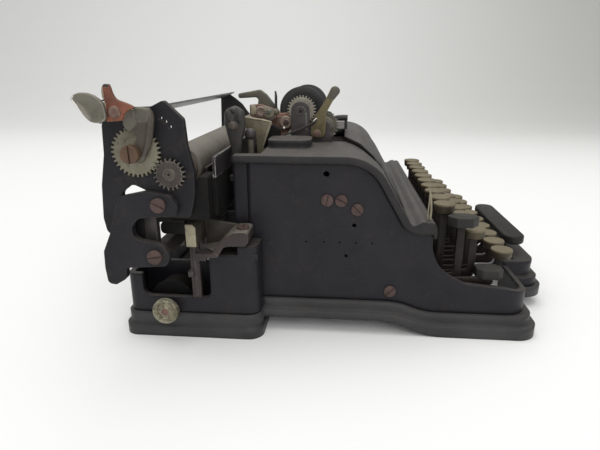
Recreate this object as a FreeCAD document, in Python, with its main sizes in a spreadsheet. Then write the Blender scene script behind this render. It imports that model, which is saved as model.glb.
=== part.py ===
import FreeCAD, Part
import math
import os
import re

# A three-bank keyboard typewriter with type bars that thrust backwards to the platen.
# Frame: X runs across the machine from the typist's left to right, -Y faces the typist,
# +Z is up. The machine stands on Z = 0 and X = 0 is its mid-plane. All sizes are in mm.
# The pieces are drawn in a working frame, and frame_shift carries them all along Y at the end.

Vector = FreeCAD.Vector
Rotation = FreeCAD.Rotation
Placement = FreeCAD.Placement

doc = FreeCAD.newDocument("Typewriter")
sheet = doc.addObject("Spreadsheet::Sheet", "Sizes")

SIZES = {
    "frame_shift": (4.7, "moves every piece so that the origin is midway along the length"),
    "case_half": (111.0, "outer face of a side panel from the mid-plane"),
    "case_wall": (4.0, "thickness of the cast walls"),
    "case_front": (126.0, "front wall in front of the origin"),
    "rim_step": (3.5, "each step of the foot moulding"),
    "rim_height": (15.0, "moulding height at the front"),
    "arch_rise": (10.5, "height of the arch between the feet"),
    "bow_half": (60.0, "half width of the front bow"),
    "bow_front": (147.0, "front of the bow in front of the origin"),
    "bow_top": (34.0, "top of the front bow"),
    "housing_half": (128.0, "outer face of the rear housing from the mid-plane"),
    "housing_top": (58.0, "top of the rear housing"),
    "housing_foot": (16.0, "moulding height at the rear"),
    "cover_top": (120.0, "flat top of the cover"),
    "cover_gauge": (4.5, "thickness of the cover"),
    "cover_half": (114.5, "half width of the cover with its lips"),
    "deck_rear": (70.3, "rear end of the cover lips"),
    "slope": (60.0, "steepest slope of the cover in degrees"),
    "key_pitch": (19.0, "pitch of the keys along a row"),
    "cap_radius": (7.4, "radius of a key cap"),
    "cap_depth": (6.5, "thickness of a key cap"),
    "lever_gauge": (1.6, "thickness of a key lever"),
    "lever_depth": (6.0, "height of a key lever"),
    "pivot_back": (20.0, "fulcrum rod behind the origin"),
    "pivot_up": (30.0, "height of the fulcrum rod"),
    "pivot_radius": (3.0, "radius of the fulcrum rod"),
    "fit": (0.05, "radial clearance of a running fit"),
    "comb_back": (58.0, "rear face of the key comb in front of the origin"),
    "comb_gauge": (2.0, "thickness of the key comb"),
    "slot_width": (2.6, "width of a comb slot"),
    "bar_half": (49.0, "half length of the space bar"),
    "bar_depth": (7.0, "thickness of the space bar"),
    "platen_back": (97.8, "platen axis behind the origin"),
    "platen_up": (114.5, "height of the platen axis"),
    "platen_radius": (12.5, "radius of the platen"),
    "platen_half": (128.0, "half length of the platen rubber"),
    "shaft_radius": (3.0, "radius of the platen shaft"),
    "gear_module": (0.85, "module of the line-space gears"),
    "gear_gauge": (2.6, "thickness of the line-space gears"),
    "large_teeth": (32.0, "teeth of the line-space gear"),
    "small_teeth": (20.0, "teeth of the platen gear"),
    "large_back": (116.1, "line-space gear axis behind the origin"),
    "large_up": (126.9, "height of the line-space gear axis"),
    "end_inner": (143.0, "inner face of a carriage end plate"),
    "end_gauge": (4.0, "thickness of a carriage end plate"),
    "hook_gauge": (5.0, "thickness of a hooked bracket"),
    "rail_half": (139.0, "half length of the carriage rail"),
    "spool_back": (32.0, "spool axis behind the origin"),
    "spool_up": (142.2, "height of the spool axis"),
    "spool_radius": (17.5, "radius of a spool flange"),
    "axle_radius": (2.0, "radius of the spool axles"),
    "ribbon_module": (0.743, "module of the ribbon gears"),
    "ribbon_teeth": (28.0, "teeth of the ribbon gears"),
    "bracket_face": (46.5, "outer face of a spool bracket from the mid-plane"),
    "screw_radius": (3.9, "radius of a case screw head"),
    "shank_radius": (1.5, "radius of a case screw shank"),
    "drum_radius": (14.0, "radius of the mainspring drum"),
    "drum_back": (113.3, "mainspring drum axis behind the origin"),
    "drum_up": (20.0, "height of the mainspring drum axis"),
}

for row, (alias, (value, note)) in enumerate(SIZES.items(), start=1):
    sheet.set(f"A{row}", note)
    sheet.set(f"B{row}", str(value))
    sheet.setAlias(f"B{row}", alias)
doc.recompute()


def size(alias):
    """Read one driving dimension from the sheet."""
    return float(sheet.get(alias))


PIECES = {}


def piece(label, solid):
    """Name a finished sub-part."""
    solid.Label = label
    PIECES[label] = solid
    return solid


# Drawing helpers

TURNS = {
    "XY": Rotation(),
    "XZ": Rotation(Vector(1, 0, 0), 90),
    "YZ": Rotation(Vector(1, 1, 1), 120),
}
NORMAL_AXIS = {"XY": "z", "XZ": "y", "YZ": "x"}
ROLES = {"XY": "XY_Plane", "XZ": "XZ_Plane", "YZ": "YZ_Plane"}
BORES = {
    "X": Rotation(Vector(0, 1, 0), 90),
    "Y": Rotation(Vector(1, 0, 0), -90),
    "Z": Rotation(),
}


def rounded(points):
    """Lines joined by tangent arcs; a point is (a, b) or (a, b, corner radius)."""
    count = len(points)
    corners = [Vector(point[0], point[1], 0) for point in points]
    starts = []
    ends = []
    middles = []
    for index, point in enumerate(points):
        here = corners[index]
        before = corners[index - 1] - here
        after = corners[(index + 1) % count] - here
        radius = point[2] if len(point) > 2 else 0.0
        if radius <= 0:
            starts.append(here)
            ends.append(here)
            middles.append(None)
            continue
        half = before.getAngle(after) / 2
        reach = min(radius / math.tan(half), 0.49 * before.Length, 0.49 * after.Length)
        radius = reach * math.tan(half)
        inward = (before.normalize() + after.normalize()).normalize()
        centre = here + inward * (radius / math.sin(half))
        starts.append(here + before * reach)
        ends.append(here + after * reach)
        middles.append(centre - inward * radius)
    edges = []
    for index in range(count):
        if middles[index] is not None:
            edges.append(Part.Arc(starts[index], middles[index], ends[index]))
        target = starts[(index + 1) % count]
        if (target - ends[index]).Length > 1e-6:
            edges.append(Part.LineSegment(ends[index], target))
    return edges


def ring(a, b, radius):
    """One circle for a sketch."""
    return [Part.Circle(Vector(a, b, 0), Vector(0, 0, 1), radius)]


def draw(sketch, loops):
    """Put closed outlines into a sketch."""
    for loop in loops:
        edges = rounded(loop) if isinstance(loop[0], tuple) else loop
        sketch.addGeometry(edges, False)


def text(amount):
    """An expression from a number or from text that names sizes."""
    if not isinstance(amount, str):
        return repr(float(amount))
    return re.sub("[a-z_]+", lambda found: "Sizes." + found.group(), amount)


def prism(name, plane, low, depth, *loops):
    """Outlines in a plane, extruded from low over depth along the plane's axis."""
    sketch = doc.addObject("Sketcher::SketchObject", name + "_outline")
    sketch.Placement = Placement(Vector(), TURNS[plane])
    draw(sketch, loops)
    level = text(low)
    if plane == "XZ":
        level = f"{text(low)} + {text(depth)}"
    sketch.setExpression("Placement.Base." + NORMAL_AXIS[plane], level)
    solid = doc.addObject("Part::Extrusion", name)
    solid.Base = sketch
    solid.DirMode = "Normal"
    solid.FaceMakerClass = "Part::FaceMakerBullseye"
    solid.Solid = True
    solid.setExpression("LengthFwd", text(depth))
    return solid


def block(name, corner, extent):
    """A box from its low corner and its three lengths."""
    solid = doc.addObject("Part::Box", name)
    for axis, amount in zip("xyz", corner):
        solid.setExpression("Placement.Base." + axis, text(amount))
    for side, amount in zip(("Length", "Width", "Height"), extent):
        solid.setExpression(side, text(amount))
    return solid


def rod(name, axis, start, radius, length):
    """A round rod from its start point along an axis."""
    solid = doc.addObject("Part::Cylinder", name)
    solid.Placement = Placement(Vector(), BORES[axis])
    for letter, amount in zip("xyz", start):
        solid.setExpression("Placement.Base." + letter, text(amount))
    solid.setExpression("Radius", text(radius))
    solid.setExpression("Height", text(length))
    return solid


def fuse(name, solids):
    """Join solids into one."""
    joined = doc.addObject("Part::MultiFuse", name)
    joined.Shapes = solids
    joined.Refine = True
    return joined


def cut(name, base, tools):
    """Take tools away from a base."""
    result = doc.addObject("Part::Cut", name)
    result.Base = base
    result.Tool = tools[0] if len(tools) == 1 else fuse(name + "_tools", tools)
    return result


def common(name, first, second):
    """Keep what two solids share."""
    result = doc.addObject("Part::Common", name)
    result.Base = first
    result.Tool = second
    return result


def group(name, solids):
    """Separate solids that share one sub-part."""
    result = doc.addObject("Part::Compound", name)
    result.Links = solids
    return result


def new_body(label):
    """A body that becomes one sub-part."""
    body = doc.addObject("PartDesign::Body", label)
    return piece(label, body)


def pad(body, name, plane, low, depth, *loops):
    """A sketch on the body's own origin plane, padded from low over depth."""
    sketch = body.newObject("Sketcher::SketchObject", name + "_sketch")
    role = ROLES[plane]
    support = next(item for item in body.Origin.OriginFeatures if item.Role == role)
    sketch.AttachmentSupport = (support, [""])
    sketch.MapMode = "FlatFace"
    draw(sketch, loops)
    level = text(low)
    if plane == "XZ":
        level = f"-( {text(low)} + {text(depth)} )"
    sketch.setExpression("AttachmentOffset.Base.z", level)
    feature = body.newObject("PartDesign::Pad", name)
    feature.Profile = sketch
    feature.setExpression("Length", text(depth))
    body.Tip = feature
    return feature


def gear_outline(back, up, teeth, module, phase):
    """Teeth with straight flanks; phase turns the first tooth, in radians."""
    pitch_radius = teeth * module / 2
    root = pitch_radius - 1.25 * module
    tip = pitch_radius + 0.85 * module
    step = 2 * math.pi / teeth
    points = []
    for tooth in range(int(teeth)):
        middle = phase + tooth * step
        for radius, share in ((root, -0.29), (tip, -0.10), (tip, 0.10), (root, 0.29)):
            angle = middle + share * step
            points.append((back + radius * math.cos(angle), up + radius * math.sin(angle)))
    return points


# Case

SIDES = {"left": -1, "right": 1}


def span(sign, inner, depth):
    """Low end of an extrusion that starts at inner on either side of the mid-plane."""
    return inner if sign > 0 else f"-( {inner} ) - ( {depth} )"


half = size("case_half")
wall = size("case_wall")
front = -size("case_front")
rim_top = size("rim_height")
wave_top = [(52, 22), (-40, 22, 60), (-57, rim_top, 60)]
wave_middle = [(52, 15.5), (-38, 15.5, 60), (-58, 8, 60)]
wave_foot = [(-59, 0, 60), (-36, size("arch_rise"), 60), (52, size("arch_rise"))]


def front_plan(step):
    """Plan of the front rim with its bow, stepped out from the walls."""
    bow = size("bow_half")
    nose = -size("bow_front")
    outer = [
        (-half - step, -104),
        (-half - step, front - step, 14 + step),
        (-bow - step, front - step, 4),
        (-bow - step, nose - step, 14 + step),
        (bow + step, nose - step, 14 + step),
        (bow + step, front - step, 4),
        (half + step, front - step, 14 + step),
        (half + step, -104),
    ]
    inner = [
        (half - wall, -104),
        (half - wall, front + wall, 10),
        (bow - wall, front + wall),
        (bow - wall, nose + wall, 10),
        (-bow + wall, nose + wall, 10),
        (-bow + wall, front + wall),
        (-half + wall, front + wall, 10),
        (-half + wall, -104),
    ]
    return outer + inner


def bow_plan(step, rear):
    """Plan of the bow alone, stepped out from its wall, with its rear ends at rear."""
    bow = size("bow_half")
    nose = -size("bow_front")
    return [
        (-bow - step, rear),
        (-bow - step, nose - step, 14 + step),
        (bow + step, nose - step, 14 + step),
        (bow + step, rear),
        (bow - wall, rear),
        (bow - wall, nose + wall, 10),
        (-bow + wall, nose + wall, 10),
        (-bow + wall, rear),
    ]


def make_base_casting():
    """Moulded foot rim, arched at the sides and raised off the floor under the bow."""
    outer_step = "2 * rim_step + case_wall"
    inner_step = "rim_step + case_wall"
    parts = [
        prism("front_foot", "XY", 0, 8, front_plan(2 * size("rim_step"))),
        prism("front_step", "XY", 4, "rim_height - 4", front_plan(size("rim_step"))),
    ]
    for side, sign in SIDES.items():
        inner = "case_half - case_wall"
        low_loop = wave_middle + [(-110, 8), (-110, 0)] + wave_foot
        high_loop = wave_top + [(-110, rim_top), (-110, 4), (-59, 4, 60), (-36, 12, 60), (52, 12)]
        low_start = span(sign, inner, outer_step)
        high_start = span(sign, inner, inner_step)
        parts.append(prism(side + "_foot_band", "YZ", low_start, outer_step, low_loop))
        parts.append(prism(side + "_top_band", "YZ", high_start, inner_step, high_loop))
    reach = size("housing_half")
    foot = size("housing_foot")
    opening = [(-120, 62), (-120, 132), (120, 132), (120, 62)]
    low_ring = [
        (-reach - 4, 50, 10),
        (-reach - 4, 144.5, 9),
        (reach + 4, 144.5, 9),
        (reach + 4, 50, 10),
    ]
    high_ring = [
        (-reach - 2, 51, 10),
        (-reach - 2, 142.5, 8),
        (reach + 2, 142.5, 8),
        (reach + 2, 51, 10),
    ]
    parts.append(prism("rear_foot", "XY", 0, 7, low_ring, opening))
    parts.append(prism("rear_step", "XY", 5, "housing_foot - 5", high_ring, opening))
    whole = fuse("base_whole", parts)
    tools = [
        block("seat", (-150, 52, foot), (300, 20, 10)),
        block("bow_gap", (-68, -160, -1), (136, 27, 9)),
        block("wall_gap", (-58, -134, -1), (116, 13, 9)),
    ]
    raised = prism("bow_foot", "XY", 8, "rim_height - 8", bow_plan(2 * size("rim_step"), front + wall))
    piece("base_casting", fuse("base_casting", [cut("base_cut", whole, tools), raised]))


def make_rear_housing():
    """Open-topped block, cut out for the hooked brackets, with a wall beside the drum."""
    reach = size("housing_half")
    plan = [
        (-half, 52),
        (-reach, 52, 9),
        (-reach, 140.5, 6),
        (reach, 140.5, 6),
        (reach, 52, 9),
        (half, 52),
        (half, 56),
        (reach - wall, 56, 5),
        (reach - wall, 136.5, 2),
        (-reach + wall, 136.5, 2),
        (-reach + wall, 56, 5),
        (-half, 56),
    ]
    walls = prism("housing_walls", "XY", "housing_foot", "housing_top - housing_foot", plan)
    top = size("housing_top")
    cut_outs = [(84, 70), (84, 27.5, 5), (130, 27.5, 6), (130, 43, 1), (150, 43), (150, 70)]
    openings = prism("housing_cut_outs", "YZ", -140, 280, cut_outs)
    shelves = []
    for side, sign in SIDES.items():
        depth = "housing_half - case_half - 1"
        plan = [(52.5, top - wall), (84, top - wall), (84, top), (52.5, top)]
        shelves.append(prism(side + "_shelf", "YZ", span(sign, "case_half", depth), depth, plan))
        plan = [(sign * half, 52), (sign * reach, 52, 9), (sign * reach, 66, 2), (sign * half, 66)]
        shelves.append(prism(side + "_riser", "XY", "housing_top", 6.5, plan))
    shell = cut("housing_shell", fuse("housing_block", [walls] + shelves), [openings])
    bore = rod("housing_bore", "X", (-140, "drum_back", "drum_up"), 3.05, 25)
    drum_wall = block("drum_wall", (-102, 55, "housing_foot"), (3, 82, 27))
    piece("rear_housing", fuse("rear_housing", [cut("housing_bored", shell, [bore]), drum_wall]))


def cover_line(gauge):
    """Corner points of the cover's curve, raised by gauge from its underside."""
    slope = math.radians(size("slope"))
    level = size("cover_top") - size("cover_gauge") + gauge
    valley = 71 + gauge
    start = Vector(-24.5 - gauge * math.sin(slope), 102.5 + gauge * math.cos(slope), 0)
    upper = start.x + (level - start.y) / math.tan(slope)
    lower = start.x - (start.y - valley) / math.tan(slope)
    return (upper, level, 26 + gauge), (lower, valley, 28.4 - gauge)


SCREWS = [(9.2, 91.6), (0.1, 91.5), (-10.2, 85.8), (-33.8, 29.5)]
SMALL_HOLES = [(22.9, 62.8), (11, 62.8), (0.7, 62.8), (-9.9, 62.8), (-20.6, 62.8)]


def panel_outline():
    """Side view of a panel: the cover's curve on top, the key cut-away in front."""
    upper, lower = cover_line(0)
    rear = size("deck_rear")
    top = [(rear, upper[1]), upper, lower, (-59.5, 71)]
    cut_away = [(-59.5, 60, 16), (-66, 45, 22), (-82, 36.5, 12), (-108, 34, 8), (-126.5, 30)]
    bottom = [(-126.5, rim_top), wave_top[2], wave_top[1], wave_top[0]]
    rear_edge = [(52, 16), (60, 16), (60, 62), (rear, 62)]
    return top + cut_away + bottom + rear_edge


def make_side_panel(side, sign):
    """Side wall that wraps round the front corner up to the bow."""
    bow = size("bow_half")
    plan = [
        (sign * half, 60),
        (sign * half, front, 14),
        (sign * bow, front),
        (sign * bow, front + wall),
        (sign * (half - wall), front + wall, 10),
        (sign * (half - wall), 62),
        (sign * (half - wall - 2), 62),
        (sign * (half - wall - 2), size("deck_rear")),
        (sign * (half - 2), size("deck_rear")),
        (sign * (half - 2), 61.4),
        (sign * (half - 3), 61.4),
        (sign * (half - 3), 60),
    ]
    walls = prism(side + "_walls", "XY", 10, 110, plan)
    screw_holes = [ring(y, z, size("shank_radius") + size("fit")) for y, z in SCREWS]
    small_holes = [ring(y, z, 0.7) for y, z in SMALL_HOLES]
    other_holes = [ring(10, 108.5, 1.9), ring(-8.6, 74.8, 1.5), ring(-3.8, 53.4, 1.2)]
    low = -130 if sign < 0 else 50
    holes = screw_holes + small_holes + other_holes
    profile = prism(side + "_profile", "YZ", low, 80, panel_outline(), *holes)
    label = "side_panel_" + side
    piece(label, common(label, walls, profile))


def make_front_apron():
    """Bowed box in front, open at the back and closed on top, with a step at its foot."""
    bow = size("bow_half")
    nose = -size("bow_front")
    lid = [(-bow + 1, -131.5), (-bow + 1, nose + 1, 13), (bow - 1, nose + 1, 13), (bow - 1, -131.5)]
    parts = [
        prism("apron_walls", "XY", "rim_height", "bow_top - rim_height", bow_plan(0, front + wall)),
        prism("apron_step", "XY", "rim_height", 7, bow_plan(size("rim_step"), front)),
        prism("apron_lid", "XY", "bow_top - 3", 3, lid),
    ]
    piece("front_apron", fuse("front_apron", parts))


def make_top_cover():
    """Bent cover with lips over the panels, a two-bead front rim and a boss."""
    low_upper, low_lower = cover_line(0)
    high_upper, high_lower = cover_line(size("cover_gauge"))
    rear = size("deck_rear")
    outline = [
        (rear, low_upper[1], 1.5),
        (rear, high_upper[1], 1.8),
        high_upper,
        (high_lower[0], high_lower[1], 14),
        (-51.5, 79.3, 1.2),
        (-54.6, 79.6, 1.2),
        (-55.4, 78, 0.4),
        (-56.2, 79.4, 1.2),
        (-59.6, 78.4, 1.4),
        (-61.2, 75, 1.5),
        (-61.2, 68.5, 0.8),
        (-59.5, 68.5),
        (-59.5, 71),
        low_lower,
        low_upper,
    ]
    bent = prism("cover_sheet", "YZ", "-cover_half", "2 * cover_half", outline)
    opening_plan = [
        (-43, 41, 6),
        (-43, -4, 10),
        (-82, -19, 8),
        (-82, -31, 4),
        (82, -31, 4),
        (82, -19, 8),
        (43, -4, 10),
        (43, 41, 6),
    ]
    opening = prism("cover_opening", "XY", 85, 40, opening_plan)
    notch = prism("cover_notch", "XY", 100, 30, [(-105, 53), (-105, 80), (105, 80), (105, 53)])
    boss_plan = [(-83, 22, 8), (-83, 52, 6), (-55, 52, 6), (-55, 22, 8)]
    boss = prism("boss", "XY", "cover_top - 1", 6.5, boss_plan)
    shell = cut("cover_shell", bent, [opening, notch])
    piece("top_cover", fuse("top_cover", [shell, boss]))


SHIELD_STATIONS = [
    (-1, 44, 124.0, 128.5),
    (-13, 66, 121.2, 125.5),
    (-21, 78, 115.2, 119.2),
    (-29, 84, 104.2, 108.2),
    (-37, 86, 90.8, 94.2),
    (-43.5, 86, 79.5, 82.0),
]


def make_type_shield():
    """Crowned shield, wide in front and narrow at the printing point."""
    gauge = 2.5
    sections = []
    for index, (level, reach, edge, crown) in enumerate(SHIELD_STATIONS):
        sketch = doc.addObject("Sketcher::SketchObject", f"shield_section_{index}")
        sketch.Placement = Placement(Vector(0, level, 0), TURNS["XZ"])
        ends = [Vector(-reach, edge, 0), Vector(reach, edge, 0)]
        drop = Vector(0, -gauge, 0)
        top = Part.Arc(ends[0], Vector(0, crown, 0), ends[1])
        bottom = Part.Arc(ends[1] + drop, Vector(0, crown - gauge, 0), ends[0] + drop)
        right = Part.LineSegment(ends[1], ends[1] + drop)
        left = Part.LineSegment(ends[0] + drop, ends[0])
        sketch.addGeometry([top, right, bottom, left], False)
        sections.append(sketch)
    loft = doc.addObject("Part::Loft", "shield_loft")
    loft.Sections = sections
    loft.Solid = True
    loft.Ruled = True
    upper, lower = cover_line(size("cover_gauge") + 0.1)
    below = [(80, 60), (80, upper[1]), upper, (lower[0], lower[1], 14), (-70, lower[1]), (-70, 60)]
    under = prism("under_cover", "YZ", -120, 240, below)
    piece("type_shield", cut("type_shield", loft, [under]))


# Keys

KEY_ROWS = [
    {"count": 10, "first": -85.5, "shift": 0.0, "front": -70.0, "top": 85.0},
    {"count": 9, "first": -90.5, "shift": 0.0, "front": -90.5, "top": 69.0},
    {"count": 9, "first": -83.5, "shift": 4.0, "front": -112.4, "top": 52.3},
]
SHIFT_KEYS = {
    "shift_key_capitals": {"lever": -97.2, "front": -80.0, "top": 80.0, "reach": 10.0, "point": 1.2},
    "shift_key_figures": {"lever": -102.5, "front": -100.2, "top": 44.4, "reach": 8.8, "point": 3.2},
}
BAR_ARMS = (-38.0, 38.0)


def lever_outline(front_end, top, stem=2.5):
    """Key lever from its eye on the fulcrum rod to the top of its stem."""
    back = size("pivot_back")
    up = size("pivot_up")
    deep = size("lever_depth")
    return [
        (back + 6, up - 6, 6),
        (back + 6, up + 6, 6),
        (back - 6, up + 5, 5),
        (back - 14, up + 3, 8),
        (front_end + stem, up + 3 + deep, 3),
        (front_end + stem, top),
        (front_end - stem, top),
        (front_end - stem, up + 3, 4),
        (back - 14, up - 3, 8),
        (back - 6, up - 6, 5),
    ]


def eye():
    """Bore of a lever on the fulcrum rod."""
    return ring(size("pivot_back"), size("pivot_up"), size("pivot_radius") + size("fit"))


def make_key(number, centre, lever, row):
    """One round key with its lever."""
    body = new_body(f"key_{number:02d}")
    underside = row["top"] - size("cap_depth")
    name = body.Name
    outline = lever_outline(row["front"], underside)
    pad(body, name + "_lever", "YZ", f"{lever} - lever_gauge / 2", "lever_gauge", outline, eye())
    cap = ring(centre, row["front"], size("cap_radius"))
    pad(body, name + "_cap", "XY", underside, "cap_depth", cap)


def make_keys():
    """Three straight rows of keys, staggered so that the levers pass each other."""
    number = 1
    for row in KEY_ROWS:
        for index in range(row["count"]):
            centre = row["first"] + index * size("key_pitch")
            make_key(number, centre, centre + row["shift"], row)
            number += 1


def make_shift_key(label, data):
    """A faceted shift key with its lever."""
    body = new_body(label)
    underside = data["top"] - size("cap_depth")
    outline = lever_outline(data["front"], underside)
    pad(body, label + "_lever", "YZ", f"{data['lever']} - 1", 2, outline, eye())
    y = data["front"]
    reach = data["reach"]
    point = data["point"]
    facets = [
        (-106.4, y - 5),
        (-106.4, y + 5),
        (-99.6 - point, y + reach),
        (-99.6 + point, y + reach),
        (-92.8, y + 5),
        (-92.8, y - 5),
        (-99.6 + point, y - reach),
        (-99.6 - point, y - reach),
    ]
    pad(body, label + "_cap", "XY", underside, "cap_depth", facets)


def make_space_bar():
    """Space bar on two arms."""
    body = new_body("space_bar")
    reach = size("bar_half")
    underside = 43.0
    outline = lever_outline(-128, underside + 1)
    for index, arm in enumerate(BAR_ARMS):
        pad(body, f"bar_arm_{index}", "YZ", f"{arm} - 1", 2, outline, eye())
        if index == 0:
            bar = [(-reach, -142, 7.8), (reach, -142, 7.8), (reach, -125.8, 7.8), (-reach, -125.8, 7.8)]
            pad(body, "bar_cap", "XY", underside, "bar_depth", bar)


def lever_positions():
    """Every place along X where a lever passes the comb."""
    places = []
    for row in KEY_ROWS:
        for index in range(row["count"]):
            places.append(row["first"] + row["shift"] + index * size("key_pitch"))
    places.extend(data["lever"] for data in SHIFT_KEYS.values())
    places.extend(BAR_ARMS)
    return places


def make_key_comb():
    """Slotted plate below the cover's rim."""
    reach = half - wall
    slot = size("slot_width") / 2
    slots = [
        [(x - slot, 23.5), (x - slot, 41), (x + slot, 41), (x + slot, 23.5)]
        for x in lever_positions()
    ]
    plate = [(-reach, 20), (-reach, 64), (reach, 64), (reach, 20)]
    return prism("key_comb", "XZ", "-comb_back - comb_gauge", "comb_gauge", plate, *slots)


def make_inner_frame():
    """Key comb, fulcrum rod, cross rods, the beam under the type bars and the escapement stand."""
    reach = "2 * ( case_half - case_wall )"
    low = "case_wall - case_half"
    solids = [
        make_key_comb(),
        rod("fulcrum", "X", (low, "pivot_back", "pivot_up"), "pivot_radius", reach),
        rod("front_tie", "X", (low, -30, 80), 3, reach),
        rod("rear_tie", "X", (low, 45, 60), 3, reach),
        block("segment_beam", (low, 12, 95), (reach, 8, 6)),
    ]
    stand = prism("stand", "XZ", 121, 3, [(-8, 30), (-8, 56, 4), (8, 56, 4), (8, 30)])
    foot = block("stand_foot", (-8, 121, 30), (16, 15.5, 5))
    stud = rod("stand_stud", "Y", (0, 106, 48.6), 1.9, 15.5)
    solids.append(fuse("escapement_stand", [stand, foot, stud]))
    piece("inner_frame", group("inner_frame", solids))


BAR_COUNT = 28
FAN = 50.0


def make_typebars():
    """Thrust bars in a fan about the printing point, on a curved segment."""
    focus = Vector(0, 80, 0)
    solids = []
    for index in range(BAR_COUNT):
        angle = -FAN + 2 * FAN * index / (BAR_COUNT - 1)
        bar = doc.addObject("Part::Box", f"type_bar_{index + 1:02d}")
        bar.Length = 68
        bar.Width = 1.2
        bar.Height = 5
        turn = Rotation(Vector(0, 0, 1), angle - 90)
        offset = turn.multVec(Vector(24, -0.6, 0))
        bar.Placement = Placement(focus + offset + Vector(0, 0, 108), turn)
        solids.append(bar)
    limits = [math.radians(-90 - FAN - 4), math.radians(-90), math.radians(-90 + FAN + 4)]
    outer = [Vector(74 * math.cos(a), 80 + 74 * math.sin(a), 0) for a in limits]
    inner = [Vector(60 * math.cos(a), 80 + 60 * math.sin(a), 0) for a in limits]
    loop = [
        Part.Arc(outer[0], outer[1], outer[2]),
        Part.LineSegment(outer[2], inner[2]),
        Part.Arc(inner[2], inner[1], inner[0]),
        Part.LineSegment(inner[0], outer[0]),
    ]
    solids.append(prism("type_segment", "XY", 101, 7, loop))
    piece("typebars", group("typebars", solids))


# Carriage

PLATEN = (size("platen_back"), size("platen_up"))
LARGE = (size("large_back"), size("large_up"))


def end_outline():
    """Side view of an end plate: a head with two limbs and a window between them."""
    return [
        (106.2, 151.8, 3),
        (99, 155.3, 2),
        (88.4, 145.2, 3),
        (87.4, 130.5, 10),
        (84.3, 115.4, 8),
        (84.5, 103.4, 8),
        (87.9, 88.4, 3),
        (111, 88.4, 2),
        (112.5, 104, 4),
        (121, 108, 4),
        (128, 103, 4),
        (128.6, 80, 4),
        (134, 75, 5),
        (139.8, 78, 5),
        (141.2, 87, 6),
        (139.8, 107, 12),
        (136.3, 125, 12),
        (135.5, 142.6, 5),
        (127, 151, 6),
    ]


def far_end_outline():
    """Side view of the right end plate, whose head is cut away in front."""
    head = [
        (138.8, 142.6, 1),
        (130, 146.6, 3),
        (123, 142, 4),
        (115, 135.5, 6),
        (110.5, 129, 6),
        (106, 123.5, 5),
        (94, 123.5, 6),
        (88.6, 118, 6),
    ]
    limbs = [point for point in end_outline()[6:] if point[1] < 110]
    return head + limbs


def make_carriage_end(side, sign):
    """End plate with its bore for the platen shaft; the left one has more holes."""
    label = "carriage_end_" + side
    body = new_body(label)
    holes = [ring(PLATEN[0], PLATEN[1], size("shaft_radius") + size("fit"))]
    outline = far_end_outline()
    if sign < 0:
        outline = end_outline()
        holes.append(ring(LARGE[0], LARGE[1], 2.5 + size("fit")))
        for hole in ((101.1, 145.6), (98.5, 143.7), (96.1, 140.9)):
            holes.append(ring(*hole, 1.0))
    start = span(sign, "end_inner", "end_gauge")
    pad(body, label + "_plate", "YZ", start, "end_gauge", outline, *holes)


def hook_outline():
    """Side view of a hooked bracket, open towards the front."""
    return [
        (130.3, 97, 5),
        (127, 101.5, 4),
        (112.7, 104.6, 8),
        (98, 102.5, 4),
        (93.5, 96, 4),
        (95, 90.5, 2),
        (118, 88.6, 4),
        (122.5, 83, 5),
        (121.5, 75.5, 5),
        (104.5, 72.5, 5),
        (100.5, 65.5, 4),
        (103, 59.2, 3),
        (128.3, 57.2, 2),
        (129, 50, 3),
        (135.5, 46.1, 2),
        (140.6, 46.7, 3),
        (141.5, 57, 4),
        (141.1, 67.4, 4),
        (136, 78.5, 8),
    ]


def make_hooks():
    """The two hooked brackets outside the end plates."""
    solids = []
    for side, sign in SIDES.items():
        low = span(sign, "end_inner + end_gauge", "hook_gauge")
        holes = [ring(104.8, 96.9, 2.55), ring(109.7, 65.1, 2.55)]
        solids.append(prism(side + "_hook", "YZ", low, "hook_gauge", hook_outline(), *holes))
    piece("c_brackets", group("c_brackets", solids))


def make_carriage_bars():
    """Cross bars of the carriage, its posts and plates, runners over the rail and rack strip."""
    reach = "2 * ( end_inner + end_gauge )"
    low = "-end_inner - end_gauge"
    lower = block("lower_bar", (low, 106, 60), (reach, 7, 10))
    tie = block("tie_bar", ("-end_inner", 101, 88), ("2 * end_inner", 8, 5))
    solids = [lower, tie, block("rack_strip", (-105, 107, 55), (210, 5, 5))]
    for index, place in enumerate((-68, 52)):
        solids.append(block(f"runner_{index}", (place, 98, 83.4), (16, 14, 4.6)))
    for side, sign in SIDES.items():
        low = span(sign, "end_inner - 6", 6)
        solids.append(block(side + "_bar_post", (low, 110.8, 70), (6, 7.2, 24)))
        solids.append(block(side + "_bar_plate", (low, 118, 70), (6, 8.5, 24)))
    piece("carriage_bars", group("carriage_bars", solids))


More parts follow.
